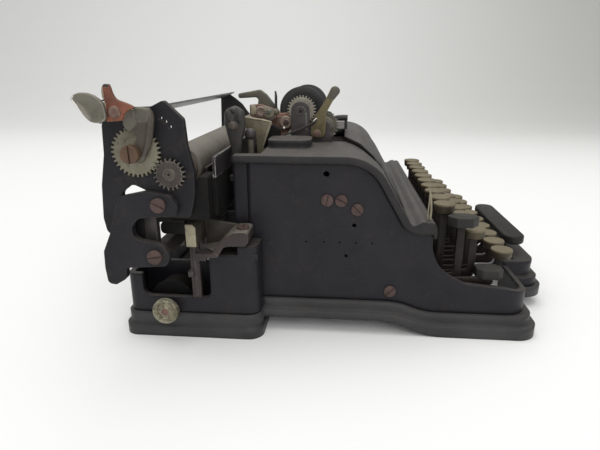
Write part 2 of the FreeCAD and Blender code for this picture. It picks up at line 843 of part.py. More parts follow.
def make_paper_table():
    """Trough under the platen, its front plate and the rod below it."""
    inner = size("platen_radius") + 1.5
    outer = inner + 1.5
    limits = [math.radians(180), math.radians(265), math.radians(350)]
    middle = Vector(PLATEN[0], PLATEN[1], 0)
    rays = [Vector(math.cos(a), math.sin(a), 0) for a in limits]
    near = [middle + ray * inner for ray in rays]
    far = [middle + ray * outer for ray in rays]
    loop = [
        Part.Arc(far[0], far[1], far[2]),
        Part.LineSegment(far[2], near[2]),
        Part.Arc(near[2], near[1], near[0]),
        Part.LineSegment(near[0], far[0]),
    ]
    plate = [(-130, 84, 4), (-130, 121.8, 3), (130, 121.8, 3), (130, 84, 4)]
    sheets = [
        prism("trough", "YZ", -126, 252, loop),
        prism("front_plate", "XZ", 76.1, 1.9, plate),
    ]
    roller = rod("feed_roller", "X", (-143, 97.0, 90.6), 1.45, 286)
    for index, place in enumerate((-143, 126)):
        web = [
            (77.8, 86),
            (77.8, 112, 2),
            (83.4, 112),
            (85.4, 105.6),
            (89.4, 101.8),
            (97.8, 100.1),
            (100.8, 100.4),
            (100.8, 86),
        ]
        sheets.append(prism(f"table_web_{index}", "YZ", place, 17, web, ring(97, 90.6, 1.5)))
    piece("paper_table", group("paper_table", [fuse("table_sheets", sheets), roller]))


def make_paper_rest():
    """Tilted strip from end plate to end plate behind the platen."""
    strip = [(139.2, 143), (123.6, 148.9), (123.1, 147.6), (138.7, 141.7)]
    piece("paper_rest", prism("paper_rest", "YZ", "-end_inner", "2 * end_inner", strip))


def make_platen():
    """Platen roller with its shaft, small gear and the knob at its far end."""
    axis = PLATEN
    solids = [
        rod("platen_roller", "X", ("-platen_half", *axis), "platen_radius", "2 * platen_half"),
        rod("platen_shaft", "X", (-151, *axis), "shaft_radius", 302),
        rod("platen_hub", "X", (-136, *axis), 8, 272),
        rod("platen_knob", "X", (148, *axis), 11, 12.4),
    ]
    along = math.atan2(LARGE[1] - PLATEN[1], LARGE[0] - PLATEN[0])
    teeth = size("small_teeth")
    outline = gear_outline(*axis, teeth, size("gear_module"), along + math.pi / teeth)
    start = "-end_inner - end_gauge - 0.5 - gear_gauge"
    solids.append(prism("platen_gear", "YZ", start, "gear_gauge", outline))
    piece("platen", fuse("platen", solids))


def make_line_space_gear():
    """The large gear that turns the platen."""
    along = math.atan2(PLATEN[1] - LARGE[1], PLATEN[0] - LARGE[0])
    outline = gear_outline(*LARGE, size("large_teeth"), size("gear_module"), along)
    body = new_body("line_space_gear")
    bore = ring(*LARGE, 2.5 + size("fit"))
    pad(body, "gear_disc", "YZ", "-end_inner - end_gauge - 0.5 - gear_gauge", "gear_gauge", outline, bore)


def make_line_space_lever():
    """Arm beside the large gear, its bracket and the spoon-shaped finger piece."""
    arm = [
        (118.5, 146, 4),
        (111, 151.5, 4),
        (103, 149.5, 4),
        (100, 143, 4),
        (103.5, 130, 5),
        (111, 118.5, 6),
        (121, 119.5, 6),
        (122.5, 131, 5),
        (114.5, 138, 5),
    ]
    bracket = [
        (129.5, 163.8, 1),
        (125.5, 164, 1),
        (123.3, 157, 5),
        (112.2, 152.6, 2),
        (112.5, 149, 2),
        (119.5, 143.5, 5),
        (129.5, 144.5, 3),
        (131.5, 150, 4),
        (128.7, 157, 3),
    ]
    spoon = [
        (130.6, 158.5, 4),
        (138, 160, 7),
        (145.5, 158, 3),
        (142.8, 150, 9),
        (136.5, 143.8, 5),
        (130, 144.2, 3),
    ]
    bore = ring(*LARGE, 2.5 + size("fit"))
    solids = [
        prism("space_arm", "YZ", -154.4, 3, arm, bore),
        prism("space_bracket", "YZ", -157.4, 3, bracket),
        prism("space_spoon", "YZ", -160.4, 3, spoon),
        rod("bracket_pin", "X", (-159.4, 123.9, 149.8), 3.6, 2),
    ]
    piece("line_space_lever", fuse("line_space_lever", solids))


SHELF_TOP = size("housing_top")


def make_guide_rails():
    """Carriage rail on its end posts, the round rail behind it, its end caps and the saddles."""
    length = "2 * rail_half"
    section = [(88.4, 67), (88.4, 79.2), (90.4, 81.4), (94.8, 81.4), (94.8, 67)]
    flat = prism("flat_rail", "YZ", "-rail_half", length, section)
    solids = [flat, rod("round_rail", "X", (-135, 106, 79), 4, 270)]
    for index, place in enumerate((-125, -3, 119)):
        solids.append(block(f"rail_bridge_{index}", (place, 94, 76), (6, 9, 6)))
    for side, sign in SIDES.items():
        depth = "case_wall"
        low = span(sign, "housing_half - case_wall", depth)
        solids.append(block(side + "_post", (low, 90.5, 27.5), ("case_wall", 6, 40)))
        outline = [
            (57, 66, 4),
            (57, 75.5, 3),
            (66, 75.2, 5),
            (71, 72.6, 4),
            (80, 62.6, 3),
            (91, 60.6),
            (91, 67.5),
            (94, 67.5),
            (94, 57, 2),
            (84.1, 57),
            (84.1, SHELF_TOP),
            (77.2, SHELF_TOP),
            (73.4, 65, 4),
            (69, 66, 3),
        ]
        saddle = prism(side + "_saddle_whole", "YZ", span(sign, 113, 20), 20, outline)
        corner = [(sign * 134, 79), (sign * 118, 90.8), (sign * 118, 95), (sign * 134, 95)]
        solids.append(cut(side + "_saddle", saddle, [prism(side + "_corner", "XY", 50, 30, corner)]))
        solids.append(block(side + "_rail_cap", (span(sign, 134.5, 4.5), 94.5, 75.2), (4.5, 15.5, 7.8)))
    piece("guide_rails", fuse("guide_rails", solids))


def make_spring_drum():
    """Mainspring drum on its fixed arbor."""
    body = new_body("spring_drum")
    low = -119.5
    axis = (size("drum_back"), size("drum_up"))
    pad(body, "drum", "YZ", low, 15, ring(*axis, size("drum_radius")), ring(*axis, 3.05))
    pad(body, "drum_flange", "YZ", low, 1.5, ring(*axis, 15.5), ring(*axis, 3.05))


def make_escapement():
    """Ratchet escape wheel with its pinion under the rack strip."""
    body = new_body("escapement")
    count = 24
    outline = []
    for tooth in range(count):
        angle = 2 * math.pi * tooth / count
        later = angle + 1.9 * math.pi / count
        outline.append((11 * math.cos(angle), 48.6 + 11 * math.sin(angle)))
        outline.append((9.6 * math.cos(later), 48.6 + 9.6 * math.sin(later)))
    pad(body, "escape_wheel", "XZ", 117, 2, outline, ring(0, 48.6, 1.95))
    pad(body, "pinion", "XZ", 107, 10.5, ring(0, 48.6, 6), ring(0, 48.6, 1.95))


# Ribbon and printing point

RIBBON_GEAR = (14.3, 131.3)
SPOOL = (size("spool_back"), size("spool_up"))


def make_spool(side, sign):
    """Ribbon spool with two flanges, a wound core and its gear."""
    gear_angle = math.atan2(RIBBON_GEAR[1] - SPOOL[1], RIBBON_GEAR[0] - SPOOL[0])
    teeth = gear_outline(*SPOOL, size("ribbon_teeth"), size("ribbon_module"), gear_angle)
    radius = size("spool_radius")
    solids = [
        prism(side + "_flange_out", "YZ", span(sign, 30, 1), 1, ring(*SPOOL, radius)),
        prism(side + "_flange_in", "YZ", span(sign, 20, 1), 1, ring(*SPOOL, radius)),
        prism(side + "_winding", "YZ", span(sign, 20.5, 10), 10, ring(*SPOOL, 11)),
        prism(side + "_spool_gear", "YZ", span(sign, 35.5, 2), 2, teeth),
        prism(side + "_gear_hub", "YZ", span(sign, 30.5, 6), 6, ring(*SPOOL, 5)),
        prism(side + "_axle", "YZ", span(sign, 19, 29), 29, ring(*SPOOL, size("axle_radius"))),
    ]
    label = "spool_" + side
    piece(label, fuse(label, solids))


def make_ribbon_gear():
    """Gear that drives the near spool, on its short shaft."""
    opposite = math.atan2(SPOOL[1] - RIBBON_GEAR[1], SPOOL[0] - RIBBON_GEAR[0])
    count = size("ribbon_teeth")
    teeth = gear_outline(*RIBBON_GEAR, count, size("ribbon_module"), opposite + math.pi / count)
    body = new_body("ribbon_gear")
    pad(body, "ribbon_teeth_disc", "YZ", -37.5, 2, teeth)
    pad(body, "ribbon_shaft", "YZ", -48, 14, ring(*RIBBON_GEAR, size("axle_radius")))


def bracket_outline():
    """Spool bracket with a rounded top, standing on the cover."""
    base = size("cover_top")
    y, z = SPOOL
    return [
        (8, base),
        (8, 125, 2),
        (10.1, 127.5, 2),
        (10.1, 135.5, 4),
        (18.5, 135.5, 4),
        (18.5, 130.3, 1.5),
        (25, 129.5, 2),
        (25.5, z + 7, 6.6),
        (y + 6.9, z + 7, 6.6),
        (y + 7.5, base, 1),
    ]


def make_ribbon_frame():
    """Spool brackets, base bar, type guide, plates and posts of the printing point."""
    solids = []
    bore = size("axle_radius") + size("fit")
    holes = [ring(*SPOOL, bore), ring(*RIBBON_GEAR, bore)]
    for side, sign in SIDES.items():
        low = span(sign, "bracket_face - 2", 2)
        bracket = prism(side + "_bracket", "YZ", low, 2, bracket_outline(), *holes)
        pin = rod(side + "_paddle_pin", "X", (span(sign, "bracket_face - 0.5", 4.5), 19.5, 126.5), 1.5, 4.5)
        solids.append(fuse(side + "_spool_bracket", [bracket, pin]))
    bar = block("base_bar", (-105, 55, 100), (210, 13.5, 4))
    guide_plate = prism("guide_plate", "YZ", -62, 2, [
        (74.6, 140, 1),
        (64.4, 137.5, 3),
        (51.1, 135.6, 1),
        (54.2, 128.3, 2),
        (57.5, 118.7, 3),
        (57.5, 103),
        (62.5, 103),
        (62.5, 123, 3),
        (70.5, 131.8, 3),
    ])
    rear_plate = prism("rear_plate", "YZ", -42, 3, [
        (71, 146.5, 1),
        (63, 147, 2),
        (52.2, 143.6, 1),
        (50.5, 137, 2),
        (56, 133, 3),
        (57, 103),
        (62, 103),
        (62, 134, 3),
        (71, 138.5, 1),
    ])
    front_plate = prism("ribbon_plate", "YZ", -35.2, 3, [
        (57.5, 139.4, 1.5),
        (42, 140.3, 2),
        (38, 134.2, 2),
        (40.4, 128, 2),
        (46.8, 121, 1),
        (54.2, 131, 3),
        (57.5, 133, 1.5),
    ])
    stud = rod("cross_stud", "X", (-43, 55.5, 137), 2.6, 29)
    finger = rod("finger", "Z", (-26, 55.5, 138), 1, 18)
    lug = rod("lug", "X", (-43, 44.3, 133.5), 3.2, 9)
    arm = prism("standing_arm", "YZ", -99, 5, [
        (67.2, 100.5),
        (66.8, 118, 4),
        (65.8, 128, 5),
        (63.6, 136, 4),
        (64, 146, 4.5),
        (70, 149.6, 4),
        (76.4, 147, 4.5),
        (77.6, 139, 4),
        (75.4, 130, 4),
        (73.4, 122, 4),
        (73.2, 100.5),
    ])
    foot = block("arm_foot", (-99, 66, 100), (5, 9.2, 4))
    rivet = rod("arm_rivet", "X", (-101, 72, 137), 3, 2.2)
    cluster = [bar, guide_plate, rear_plate, front_plate, stud, finger, lug, arm, foot, rivet]
    solids.append(fuse("printing_point", cluster))
    piece("ribbon_frame", group("ribbon_frame", solids))


def make_ribbon_paddle():
    """Brass reversing lever with a flat finger end and its thin link."""
    body = new_body("ribbon_paddle")
    outline = [
        (24, 123, 4),
        (24, 134, 4),
        (18.5, 143, 4),
        (14, 150, 6),
        (8.5, 161.5, 3.4),
        (1.5, 158, 3.4),
        (8.5, 149.5, 6),
        (13, 141, 5),
        (13.5, 124, 4),
    ]
    pad(body, "paddle", "YZ", -50.5, 1.8, outline, ring(19.5, 126.5, 1.55))
    link = [(21, 131), (21, 134), (32, 132.6, 4), (43, 129), (42.4, 127.4), (32, 130.6, 4)]
    pad(body, "paddle_link", "YZ", -51.6, 1.4, link)


def make_ribbon_lever():
    """Angled lever with a long handle over the platen."""
    body = new_body("ribbon_lever")
    outline = [
        (84.3, 149.9, 1.8),
        (84.3, 153.7, 1.8),
        (66.3, 156.9, 3.5),
        (61.3, 153.2, 4),
        (50.5, 139.5, 4),
        (54, 131.8, 4),
        (62.5, 134, 4),
        (69, 144.5, 2),
        (67.6, 151, 2.5),
    ]
    pad(body, "elbow", "YZ", -20, 4, outline, ring(55.5, 137, 2.65))


# Fasteners

def make_case_screws():
    """Case screws, the arbor with its brass cap, and small studs."""
    solids = []
    for side, sign in SIDES.items():
        for index, (y, z) in enumerate(SCREWS):
            disc = ring(y, z, size("screw_radius"))
            head = prism(f"{side}_head_{index}", "YZ", span(sign, "case_half", 1.8), 1.8, disc)
            low = span(sign, "case_half - 3", 4)
            shank = prism(f"{side}_shank_{index}", "YZ", low, 4, ring(y, z, size("shank_radius")))
            solids.append(fuse(f"{side}_screw_{index}", [head, shank]))
        saddle_screw = rod(side + "_saddle_screw", "Z", (sign * 124, 62, 75.5), 4, 1.6)
        solids.append(saddle_screw)
    arbor = rod("arbor", "X", (-134, "drum_back", "drum_up"), 3, 31)
    cap = rod("arbor_cap", "X", (-136.4, "drum_back", "drum_up"), 8.7, 4.2)
    solids.append(fuse("drum_arbor", [arbor, cap]))
    stem = rod("pin_stem", "Z", (-95, 60.8, 104), 1.8, 24)
    ball = doc.addObject("Part::Sphere", "pin_ball")
    ball.Radius = 3.9
    ball.Placement = Placement(Vector(-95, 60.8, 131), Rotation())
    solids.append(fuse("ball_pin", [stem, ball]))
    knob = rod("shield_knob_bar", "Y", (-30, -3, 136.3), 2.4, 10.7)
    leg = block("shield_knob_leg", (-31.5, -2.8, 128), (3, 2.2, 7))
    solids.append(fuse("shield_knob", [knob, leg]))
    solids.append(block("rim_post", (-109, -58, 79.6), (1.2, 3.6, 21)))
    piece("case_screws", group("case_screws", solids))


def make_carriage_screws():
    """Slotted screws that hold the brackets and the large gear."""
    solids = []
    face = size("end_inner") + size("end_gauge") + size("hook_gauge")
    for side, sign in SIDES.items():
        for index, (y, z) in enumerate(((104.8, 96.9), (109.7, 65.1))):
            head = prism(f"{side}_hook_head_{index}", "YZ", span(sign, face, 2), 2, ring(y, z, 4.4))
            shank = prism(f"{side}_hook_shank_{index}", "YZ", span(sign, face - 5, 6), 6, ring(y, z, 2.5))
            solids.append(fuse(f"{side}_hook_screw_{index}", [head, shank]))
    pin = rod("gear_pin", "X", (-155.5, *LARGE), 2.5, 14)
    head = rod("gear_pin_head", "X", (-159.5, *LARGE), 5.1, 4.8)
    solids.append(fuse("gear_screw", [pin, head]))
    piece("carriage_screws", group("carriage_screws", solids))


make_base_casting()
make_rear_housing()
for side, sign in SIDES.items():
    make_side_panel(side, sign)
make_front_apron()
make_top_cover()
make_type_shield()
make_keys()
for label, data in SHIFT_KEYS.items():
    make_shift_key(label, data)
make_space_bar()
make_inner_frame()
make_typebars()
for side, sign in SIDES.items():
    make_carriage_end(side, sign)
make_hooks()
make_carriage_bars()
make_paper_table()
make_paper_rest()
make_platen()
make_line_space_gear()
make_line_space_lever()
make_guide_rails()
make_spring_drum()
make_escapement()
for side, sign in SIDES.items():
    make_spool(side, sign)
make_ribbon_gear()
make_ribbon_frame()
make_ribbon_paddle()
make_ribbon_lever()
make_case_screws()
make_carriage_screws()

for solid in PIECES.values():
    solid.setExpression("Placement.Base.y", "Sizes.frame_shift")

doc.recompute()

faults = []
for item in doc.Objects:
    if "Invalid" in item.State or "Error" in item.State:
        faults.append(f"{item.Name}: {item.State}")
for label, solid in PIECES.items():
    shape = solid.Shape
    if shape.isNull() or not shape.isValid() or not shape.Solids:
        faults.append(f"{label}: shape is not valid")
if faults:
    raise RuntimeError("; ".join(faults))

os.makedirs("parts", exist_ok=True)
for label, solid in PIECES.items():
    solid.Shape.exportStep(f"parts/{label}.step")
    box = solid.Shape.BoundBox
    print(
        f"{label:22s} solids {len(solid.Shape.Solids):2d} volume {solid.Shape.Volume / 1000:9.2f} cm3 "
        f"X {box.XMin:7.1f} {box.XMax:7.1f} Y {box.YMin:7.1f} {box.YMax:7.1f} Z {box.ZMin:6.1f} {box.ZMax:6.1f}"
    )
print(len(PIECES), "pieces")
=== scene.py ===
import bmesh
import bpy
import math
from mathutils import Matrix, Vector


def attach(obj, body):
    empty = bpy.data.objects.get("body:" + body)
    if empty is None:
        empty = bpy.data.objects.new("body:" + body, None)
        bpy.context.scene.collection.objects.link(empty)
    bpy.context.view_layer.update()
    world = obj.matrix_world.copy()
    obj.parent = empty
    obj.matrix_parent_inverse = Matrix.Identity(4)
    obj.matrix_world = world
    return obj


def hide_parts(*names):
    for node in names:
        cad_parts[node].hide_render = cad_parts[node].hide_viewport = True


# Looks of a three-bank typewriter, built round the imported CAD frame.
# Shapes are written in mm in the working frame of the construction model. When a
# piece is finished it moves BACK mm along Y and turns into metres.

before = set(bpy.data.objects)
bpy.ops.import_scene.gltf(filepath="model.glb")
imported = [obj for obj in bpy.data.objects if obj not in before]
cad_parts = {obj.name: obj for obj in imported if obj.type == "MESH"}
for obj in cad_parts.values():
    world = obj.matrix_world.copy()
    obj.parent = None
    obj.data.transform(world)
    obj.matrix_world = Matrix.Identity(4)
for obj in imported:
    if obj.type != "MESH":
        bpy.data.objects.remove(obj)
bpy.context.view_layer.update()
BACK = 4.7
MM = 0.001
SIDES = {"left": -1, "right": 1}


def show(name, data):
    """A new object in the scene."""
    made = bpy.data.objects.new(name, data)
    bpy.context.scene.collection.objects.link(made)
    return made


# Materials

class Shader:
    """Short calls for the nodes of one material."""

    def __init__(self, name):
        self.material = bpy.data.materials.new(name)
        self.material.use_nodes = True
        self.tree = self.material.node_tree
        self.tree.nodes.clear()
        self.coordinates = self.add("ShaderNodeTexCoord").outputs["Object"]

    def add(self, kind, **values):
        made = self.tree.nodes.new(kind)
        for key, value in values.items():
            setattr(made, key, value)
        return made

    def feed(self, socket, value):
        if isinstance(value, bpy.types.NodeSocket):
            self.tree.links.new(value, socket)
        elif isinstance(value, tuple) and len(value) == 3 and socket.type == "RGBA":
            socket.default_value = (*value, 1.0)
        else:
            socket.default_value = value

    def fill(self, made, **sockets):
        """Feed the sockets given by name, with _ for a space."""
        for name, value in sockets.items():
            self.feed(made.inputs[name.replace("_", " ")], value)
        return made.outputs[0]

    def noise(self, scale, detail, rough, warp=0.0):
        return self.fill(
            self.add("ShaderNodeTexNoise"), Vector=self.coordinates, Scale=scale,
            Detail=detail, Roughness=rough, Distortion=warp,
        )

    def span(self, value, low, high, to_low=0.0, to_high=1.0, **values):
        return self.fill(
            self.add("ShaderNodeMapRange", **values), Value=value, From_Min=low,
            From_Max=high, To_Min=to_low, To_Max=to_high,
        )

    def math(self, operation, first, second):
        made = self.add("ShaderNodeMath", operation=operation)
        self.feed(made.inputs[0], first)
        self.feed(made.inputs[1], second)
        return made.outputs[0]

    def mix(self, share, first, second, **values):
        made = self.add("ShaderNodeMix", data_type="RGBA", **values)
        self.feed(made.inputs[0], share)
        self.feed(made.inputs[6], first)
        self.feed(made.inputs[7], second)
        return made.outputs[2]

    def split(self, geometry):
        """X, Y and Z of the surface's Normal or Position."""
        parts = self.add("ShaderNodeSeparateXYZ")
        self.feed(parts.inputs[0], self.add("ShaderNodeNewGeometry").outputs[geometry])
        return parts.outputs

    def edges(self, radius, gain, rounding):
        """A mask along sharp edges, and the softened normal."""
        soft = self.fill(self.add("ShaderNodeBevel", samples=4), Radius=radius)
        dot = self.add("ShaderNodeVectorMath", operation="DOT_PRODUCT")
        self.feed(dot.inputs[0], soft)
        self.feed(dot.inputs[1], self.add("ShaderNodeNewGeometry").outputs["Normal"])
        mask = self.math("SUBTRACT", 1.0, dot.outputs["Value"])
        if rounding > radius:
            soft = self.fill(self.add("ShaderNodeBevel", samples=8), Radius=rounding)
        return self.math("MULTIPLY", mask, gain), soft

    def finish(self, kind, **sockets):
        """The material with its closure, whose sockets are given by name."""
        output = self.add("ShaderNodeOutputMaterial")
        self.feed(output.inputs["Surface"], self.fill(self.add(kind), **sockets))
        return self.material


# Noise scales of mottling, blots, grain, specks and rubbed edges
BROAD, BLOTS, GRAIN, SPECKS, RUBS = 28, 95, 650, 1500, 170


def aged(
    name, base, deep, stain, dust_and_sheen, wear,
    size=2, stain_low=0.54, stain_high=0.68, stained=0.6, dust_and_sheen_share=0.4, edge=0.6, edge_gain=5,
    rounding=0, worn=0.6, rough=(0.42, 0.7), pits=0.8, bump=0.35, depth=0.2, metallic=0, shine=0.5,
):
    """An old surface: mottled colour, stains, a dusting on upward faces with a painted sheen there,
    worn edges, grain.

    Colours are linear, in thousandths. edge, rounding and depth are in mm.
    """
    shade = Shader(name)
    base, deep, stain, dust_and_sheen, wear = (
        tuple(part / 1000 for part in color) for color in (base, deep, stain, dust_and_sheen, wear)
    )
    broad = shade.noise(BROAD * size, 5, 0.6, 0.4)
    blots = shade.noise(BLOTS * size, 7, 0.68, 0.6)
    grain = shade.noise(GRAIN * size, 4, 0.6)
    specks = shade.noise(SPECKS * size, 2, 0.5)
    color = shade.mix(shade.span(broad, 0.35, 0.66), deep, base)
    blotted = shade.math("MULTIPLY", shade.span(blots, stain_low, stain_high), stained)
    color = shade.mix(blotted, color, stain)
    # Upward faces are lighter: a dusting, and a painted sheen where light falls on top
    upward = shade.span(shade.split("Normal")["Z"], 0.35, 0.95)
    dust_and_top_sheen = shade.math("MULTIPLY", upward, shade.span(blots, 0.28, 0.62, 0.45, 1.0))
    dust_and_top_sheen = shade.math("MULTIPLY", dust_and_top_sheen, dust_and_sheen_share)
    color = shade.mix(dust_and_top_sheen, color, dust_and_sheen)
    spots = shade.math("MULTIPLY", shade.span(specks, 0.66, 0.74), 0.25)
    color = shade.mix(spots, color, dust_and_sheen)
    mask, soft = shade.edges(edge * MM, edge_gain, rounding * MM)
    rubs = shade.span(shade.noise(RUBS * size, 5, 0.7), 0.38, 0.6)
    rubbed = shade.math("MULTIPLY", mask, rubs)
    color = shade.mix(shade.math("MINIMUM", rubbed, worn), color, wear)
    height = shade.math("ADD", grain, shade.math("MULTIPLY", blots, pits))
    return shade.finish(
        "ShaderNodeBsdfPrincipled", Base_Color=color,
        Roughness=shade.span(shade.math("ADD", blots, dust_and_top_sheen), 0.3, 1.1, *rough),
        Normal=shade.fill(
            shade.add("ShaderNodeBump"), Strength=bump, Distance=depth * MM, Height=height, Normal=soft,
        ),
        Metallic=metallic, Specular_IOR_Level=shine,
    )


# Colour of the dusting on upward faces, which also paints their sheen
DUST_AND_SHEEN = (105, 95, 82)

ENAMEL = aged("case_enamel", (17.5, 16.5, 20.5), (11, 10.5, 13.5), (27, 21, 20), DUST_AND_SHEEN, (95, 82, 70),
    size=1, stained=0.65, dust_and_sheen_share=0.5, rounding=2.8, worn=0.4, rough=(0.36, 0.6), bump=0.22, shine=0.24)
FOOT_ENAMEL = aged("foot_enamel", (50, 49, 50), (30, 29, 31), (56, 49, 43), (96, 92, 86), (100, 92, 80),
    size=1, dust_and_sheen_share=0.35, edge_gain=3, rounding=4.2, worn=0.22, rough=(0.4, 0.66), bump=0.3, shine=0.3)
COVER = aged("cover_enamel", (23, 21, 22), (14.5, 13.2, 13.8), (42, 34, 28), (108, 100, 91),
    (150, 130, 110), size=1, stained=0.55, dust_and_sheen_share=0.85, rounding=3.4, worn=0.4, rough=(0.38, 0.62),
    bump=0.25, shine=0.3)
CAST = aged("cast_bracket", (18, 17.2, 20.5), (10.5, 10, 12.5), (36, 27, 24), DUST_AND_SHEEN, (110, 90, 75),
    size=1, stained=0.7, dust_and_sheen_share=0.6, rounding=1.2, pits=1.2, shine=0.22)
DARK_STEEL = aged("dark_steel", (36, 29, 25), (18, 15, 14), (55, 32, 24), (80, 72, 62), (160, 130, 100),
    size=1.6, stained=0.7, dust_and_sheen_share=0.45, rough=(0.45, 0.75), bump=0.25, metallic=0.25, shine=0.35)
LEVER_STEEL = aged("lever_steel", (22, 16, 14), (11, 9, 9), (42, 22, 16), (62, 50, 42), (140, 100, 75),
    stained=0.8, rough=(0.42, 0.75), bump=0.25, metallic=0.25, shine=0.35)
KEY_CAP = aged("key_cap", (158, 126, 68), (104, 82, 44), (66, 49, 28), (195, 168, 112), (70, 53, 30),
    size=2.2, stained=0.7, dust_and_sheen_share=0.5, edge=0.4, worn=0.45, bump=0.3)
# The key's side: the cap's celluloid made darker, a painted shade beside the lit face
SHADED_KEY_SIDE = aged("key_side_painted_shade", (75, 60, 35), (40, 31, 20), (32, 22, 16), (130, 115, 80), (40, 28, 18),
    size=2.2, stained=0.8, dust_and_sheen_share=0.3, rough=(0.45, 0.75), shine=0.35)
CHARCOAL = aged("charcoal_cap", (26, 25.5, 23), (17, 16.5, 15.5), (34, 32, 27), (66, 63, 53),
    (70, 66, 58), size=1.8, stained=0.5, dust_and_sheen_share=0.55, worn=0.4, rough=(0.5, 0.75), bump=0.2, shine=0.3)
BAR_CAP = aged("bar_cap", (15.5, 15, 15), (11, 10.5, 10.5), (22, 20, 18.5), (32, 30, 27), (60, 56, 52),
    size=1.5, stained=0.3, dust_and_sheen_share=0.45, rounding=1, worn=0.35, rough=(0.46, 0.66), bump=0.15, shine=0.3)
NICKEL = aged("spoon_nickel", (195, 180, 140), (135, 125, 100), (105, 92, 68), (235, 220, 185),
    (500, 480, 430), size=1.8, stained=0.45, dust_and_sheen_share=0.3, edge=0.5, edge_gain=7, worn=0.7,
    rough=(0.3, 0.5), bump=0.12, metallic=0.35)
# Bright polished metal; it also paints the glint at the paddle's link
POLISH_AND_GLINT = aged("polished_rim_and_painted_glint", (850, 840, 800), (620, 600, 550), (400, 380, 330), (700, 690, 640),
    (950, 940, 900), stained=0.4, dust_and_sheen_share=0.2, rough=(0.16, 0.34), bump=0.1, metallic=0.7)
ORANGE_RUST = aged("orange_rust", (235, 82, 42), (125, 42, 25), (85, 32, 22), (230, 125, 80),
    (330, 160, 95), size=2.4, stained=0.8, dust_and_sheen_share=0.35, rough=(0.6, 0.9), bump=0.6, depth=0.3)
SCREW_RUST = aged("screw_rust", (98, 62, 54), (55, 34, 30), (36, 23, 21), (140, 100, 88),
    (200, 140, 120), size=3, edge=0.3, rough=(0.5, 0.8), bump=0.5, metallic=0.2, shine=0.35)
AMBER_SCREW = aged("amber_screw", (155, 88, 48), (85, 48, 29), (55, 32, 20), (150, 105, 70),
    (270, 180, 120), size=2.4, dust_and_sheen_share=0.3, rough=(0.45, 0.72), bump=0.4, metallic=0.3)
IVORY_GEAR = aged("ivory_gear", (205, 190, 135), (125, 113, 78), (75, 60, 40), (250, 235, 180),
    (420, 390, 310), size=2.4, stained=0.75, dust_and_sheen_share=0.3, edge=0.4, rough=(0.4, 0.7), metallic=0.3)
PALE_GEAR = aged("pale_gear", (400, 370, 300), (270, 245, 195), (170, 140, 100), (460, 430, 360),
    (620, 580, 480), size=2.4, stained=0.7, dust_and_sheen_share=0.3, edge=0.4, rough=(0.4, 0.7), metallic=0.25)
BROWN_GEAR = aged("brown_gear", (62, 50, 41), (36, 29, 25), (50, 32, 24), (110, 98, 80),
    (550, 520, 440), size=2.4, dust_and_sheen_share=0.25, edge=0.5, edge_gain=6, worn=0.7, rough=(0.42, 0.72),
    metallic=0.3)
TAUPE = aged("taupe_casting", (125, 115, 88), (78, 70, 55), (58, 46, 35), (270, 260, 215),
    (240, 220, 180), size=1.8, dust_and_sheen_share=0.8, rounding=1.2, metallic=0.2)
RUBBER = aged("platen_rubber", (135, 119, 98), (82, 71, 60), (55, 46, 40), (220, 200, 165),
    (250, 210, 165), size=1.2, dust_and_sheen_share=0.6, rough=(0.5, 0.8), pits=1.4, bump=0.4)
RUSTY_HUB = aged("rusty_hub", (100, 74, 56), (52, 38, 31), (100, 50, 32), (170, 140, 110),
    (250, 180, 135), size=2.2, stained=0.8, dust_and_sheen_share=0.35, rough=(0.5, 0.82), bump=0.5, metallic=0.2)
GREY_STRIP = aged("grey_strip", (160, 160, 145), (100, 100, 95), (80, 70, 60), (300, 300, 275),
    (420, 400, 360), size=1.8, stained=0.5, dust_and_sheen_share=0.7, rough=(0.36, 0.6), bump=0.25, metallic=0.4)
SLATE = aged("slate_arm", (46, 43, 41), (27, 24, 24), (60, 42, 34), (125, 120, 105), (220, 200, 175),
    stained=0.55, dust_and_sheen_share=0.55, rough=(0.36, 0.62), bump=0.3, metallic=0.2, shine=0.4)
STAND_BROWN = aged("stand_brown", (62, 53, 52), (37, 32, 34), (62, 42, 36), (140, 128, 112),
    (300, 270, 220), stained=0.65, dust_and_sheen_share=0.5, rough=(0.4, 0.68), metallic=0.25)
BRASS = aged("old_brass", (215, 183, 95), (125, 105, 52), (75, 60, 32), (250, 225, 155),
    (420, 370, 240), size=2.2, stained=0.65, dust_and_sheen_share=0.35, edge=0.5, rough=(0.38, 0.66), bump=0.3,
    metallic=0.4)
OLIVE_BRASS = aged("olive_brass", (185, 160, 105), (115, 98, 65), (70, 55, 38), (240, 215, 160),
    (620, 580, 460), size=2.2, edge_gain=7, worn=0.8, rough=(0.4, 0.68), metallic=0.25)
CREAM_BRASS = aged("cream_brass", (330, 300, 210), (220, 195, 130), (120, 95, 60), (400, 370, 290),
    (620, 580, 450), size=2.2, edge=0.5, rough=(0.4, 0.68), metallic=0.25)
PINK_RUST = aged("pink_rust", (200, 118, 90), (115, 67, 53), (65, 40, 32), (280, 200, 160),
    (420, 320, 260), size=2.6, stained=0.7, rough=(0.5, 0.8), bump=0.5, metallic=0.2)
ROSE_DISC = aged("rose_disc", (270, 200, 165), (170, 122, 100), (100, 66, 55), (360, 300, 250),
    (500, 420, 360), size=2.6, rough=(0.45, 0.75), bump=0.4, metallic=0.2)
SPOOL_BLACK = aged("spool_enamel", (32, 31, 31), (20, 19, 20), (45, 36, 33), (90, 85, 76),
    (120, 110, 98), size=1.8, stained=0.45, dust_and_sheen_share=0.5, edge=0.3, rough=(0.4, 0.64), bump=0.25,
    shine=0.4)
RIBBON = aged("ribbon_cloth", (18, 16, 18), (11, 10, 12), (28, 22, 21), (50, 46, 42), (30, 27, 26),
    size=3, stained=0.5, rough=(0.75, 0.95), bump=0.5)
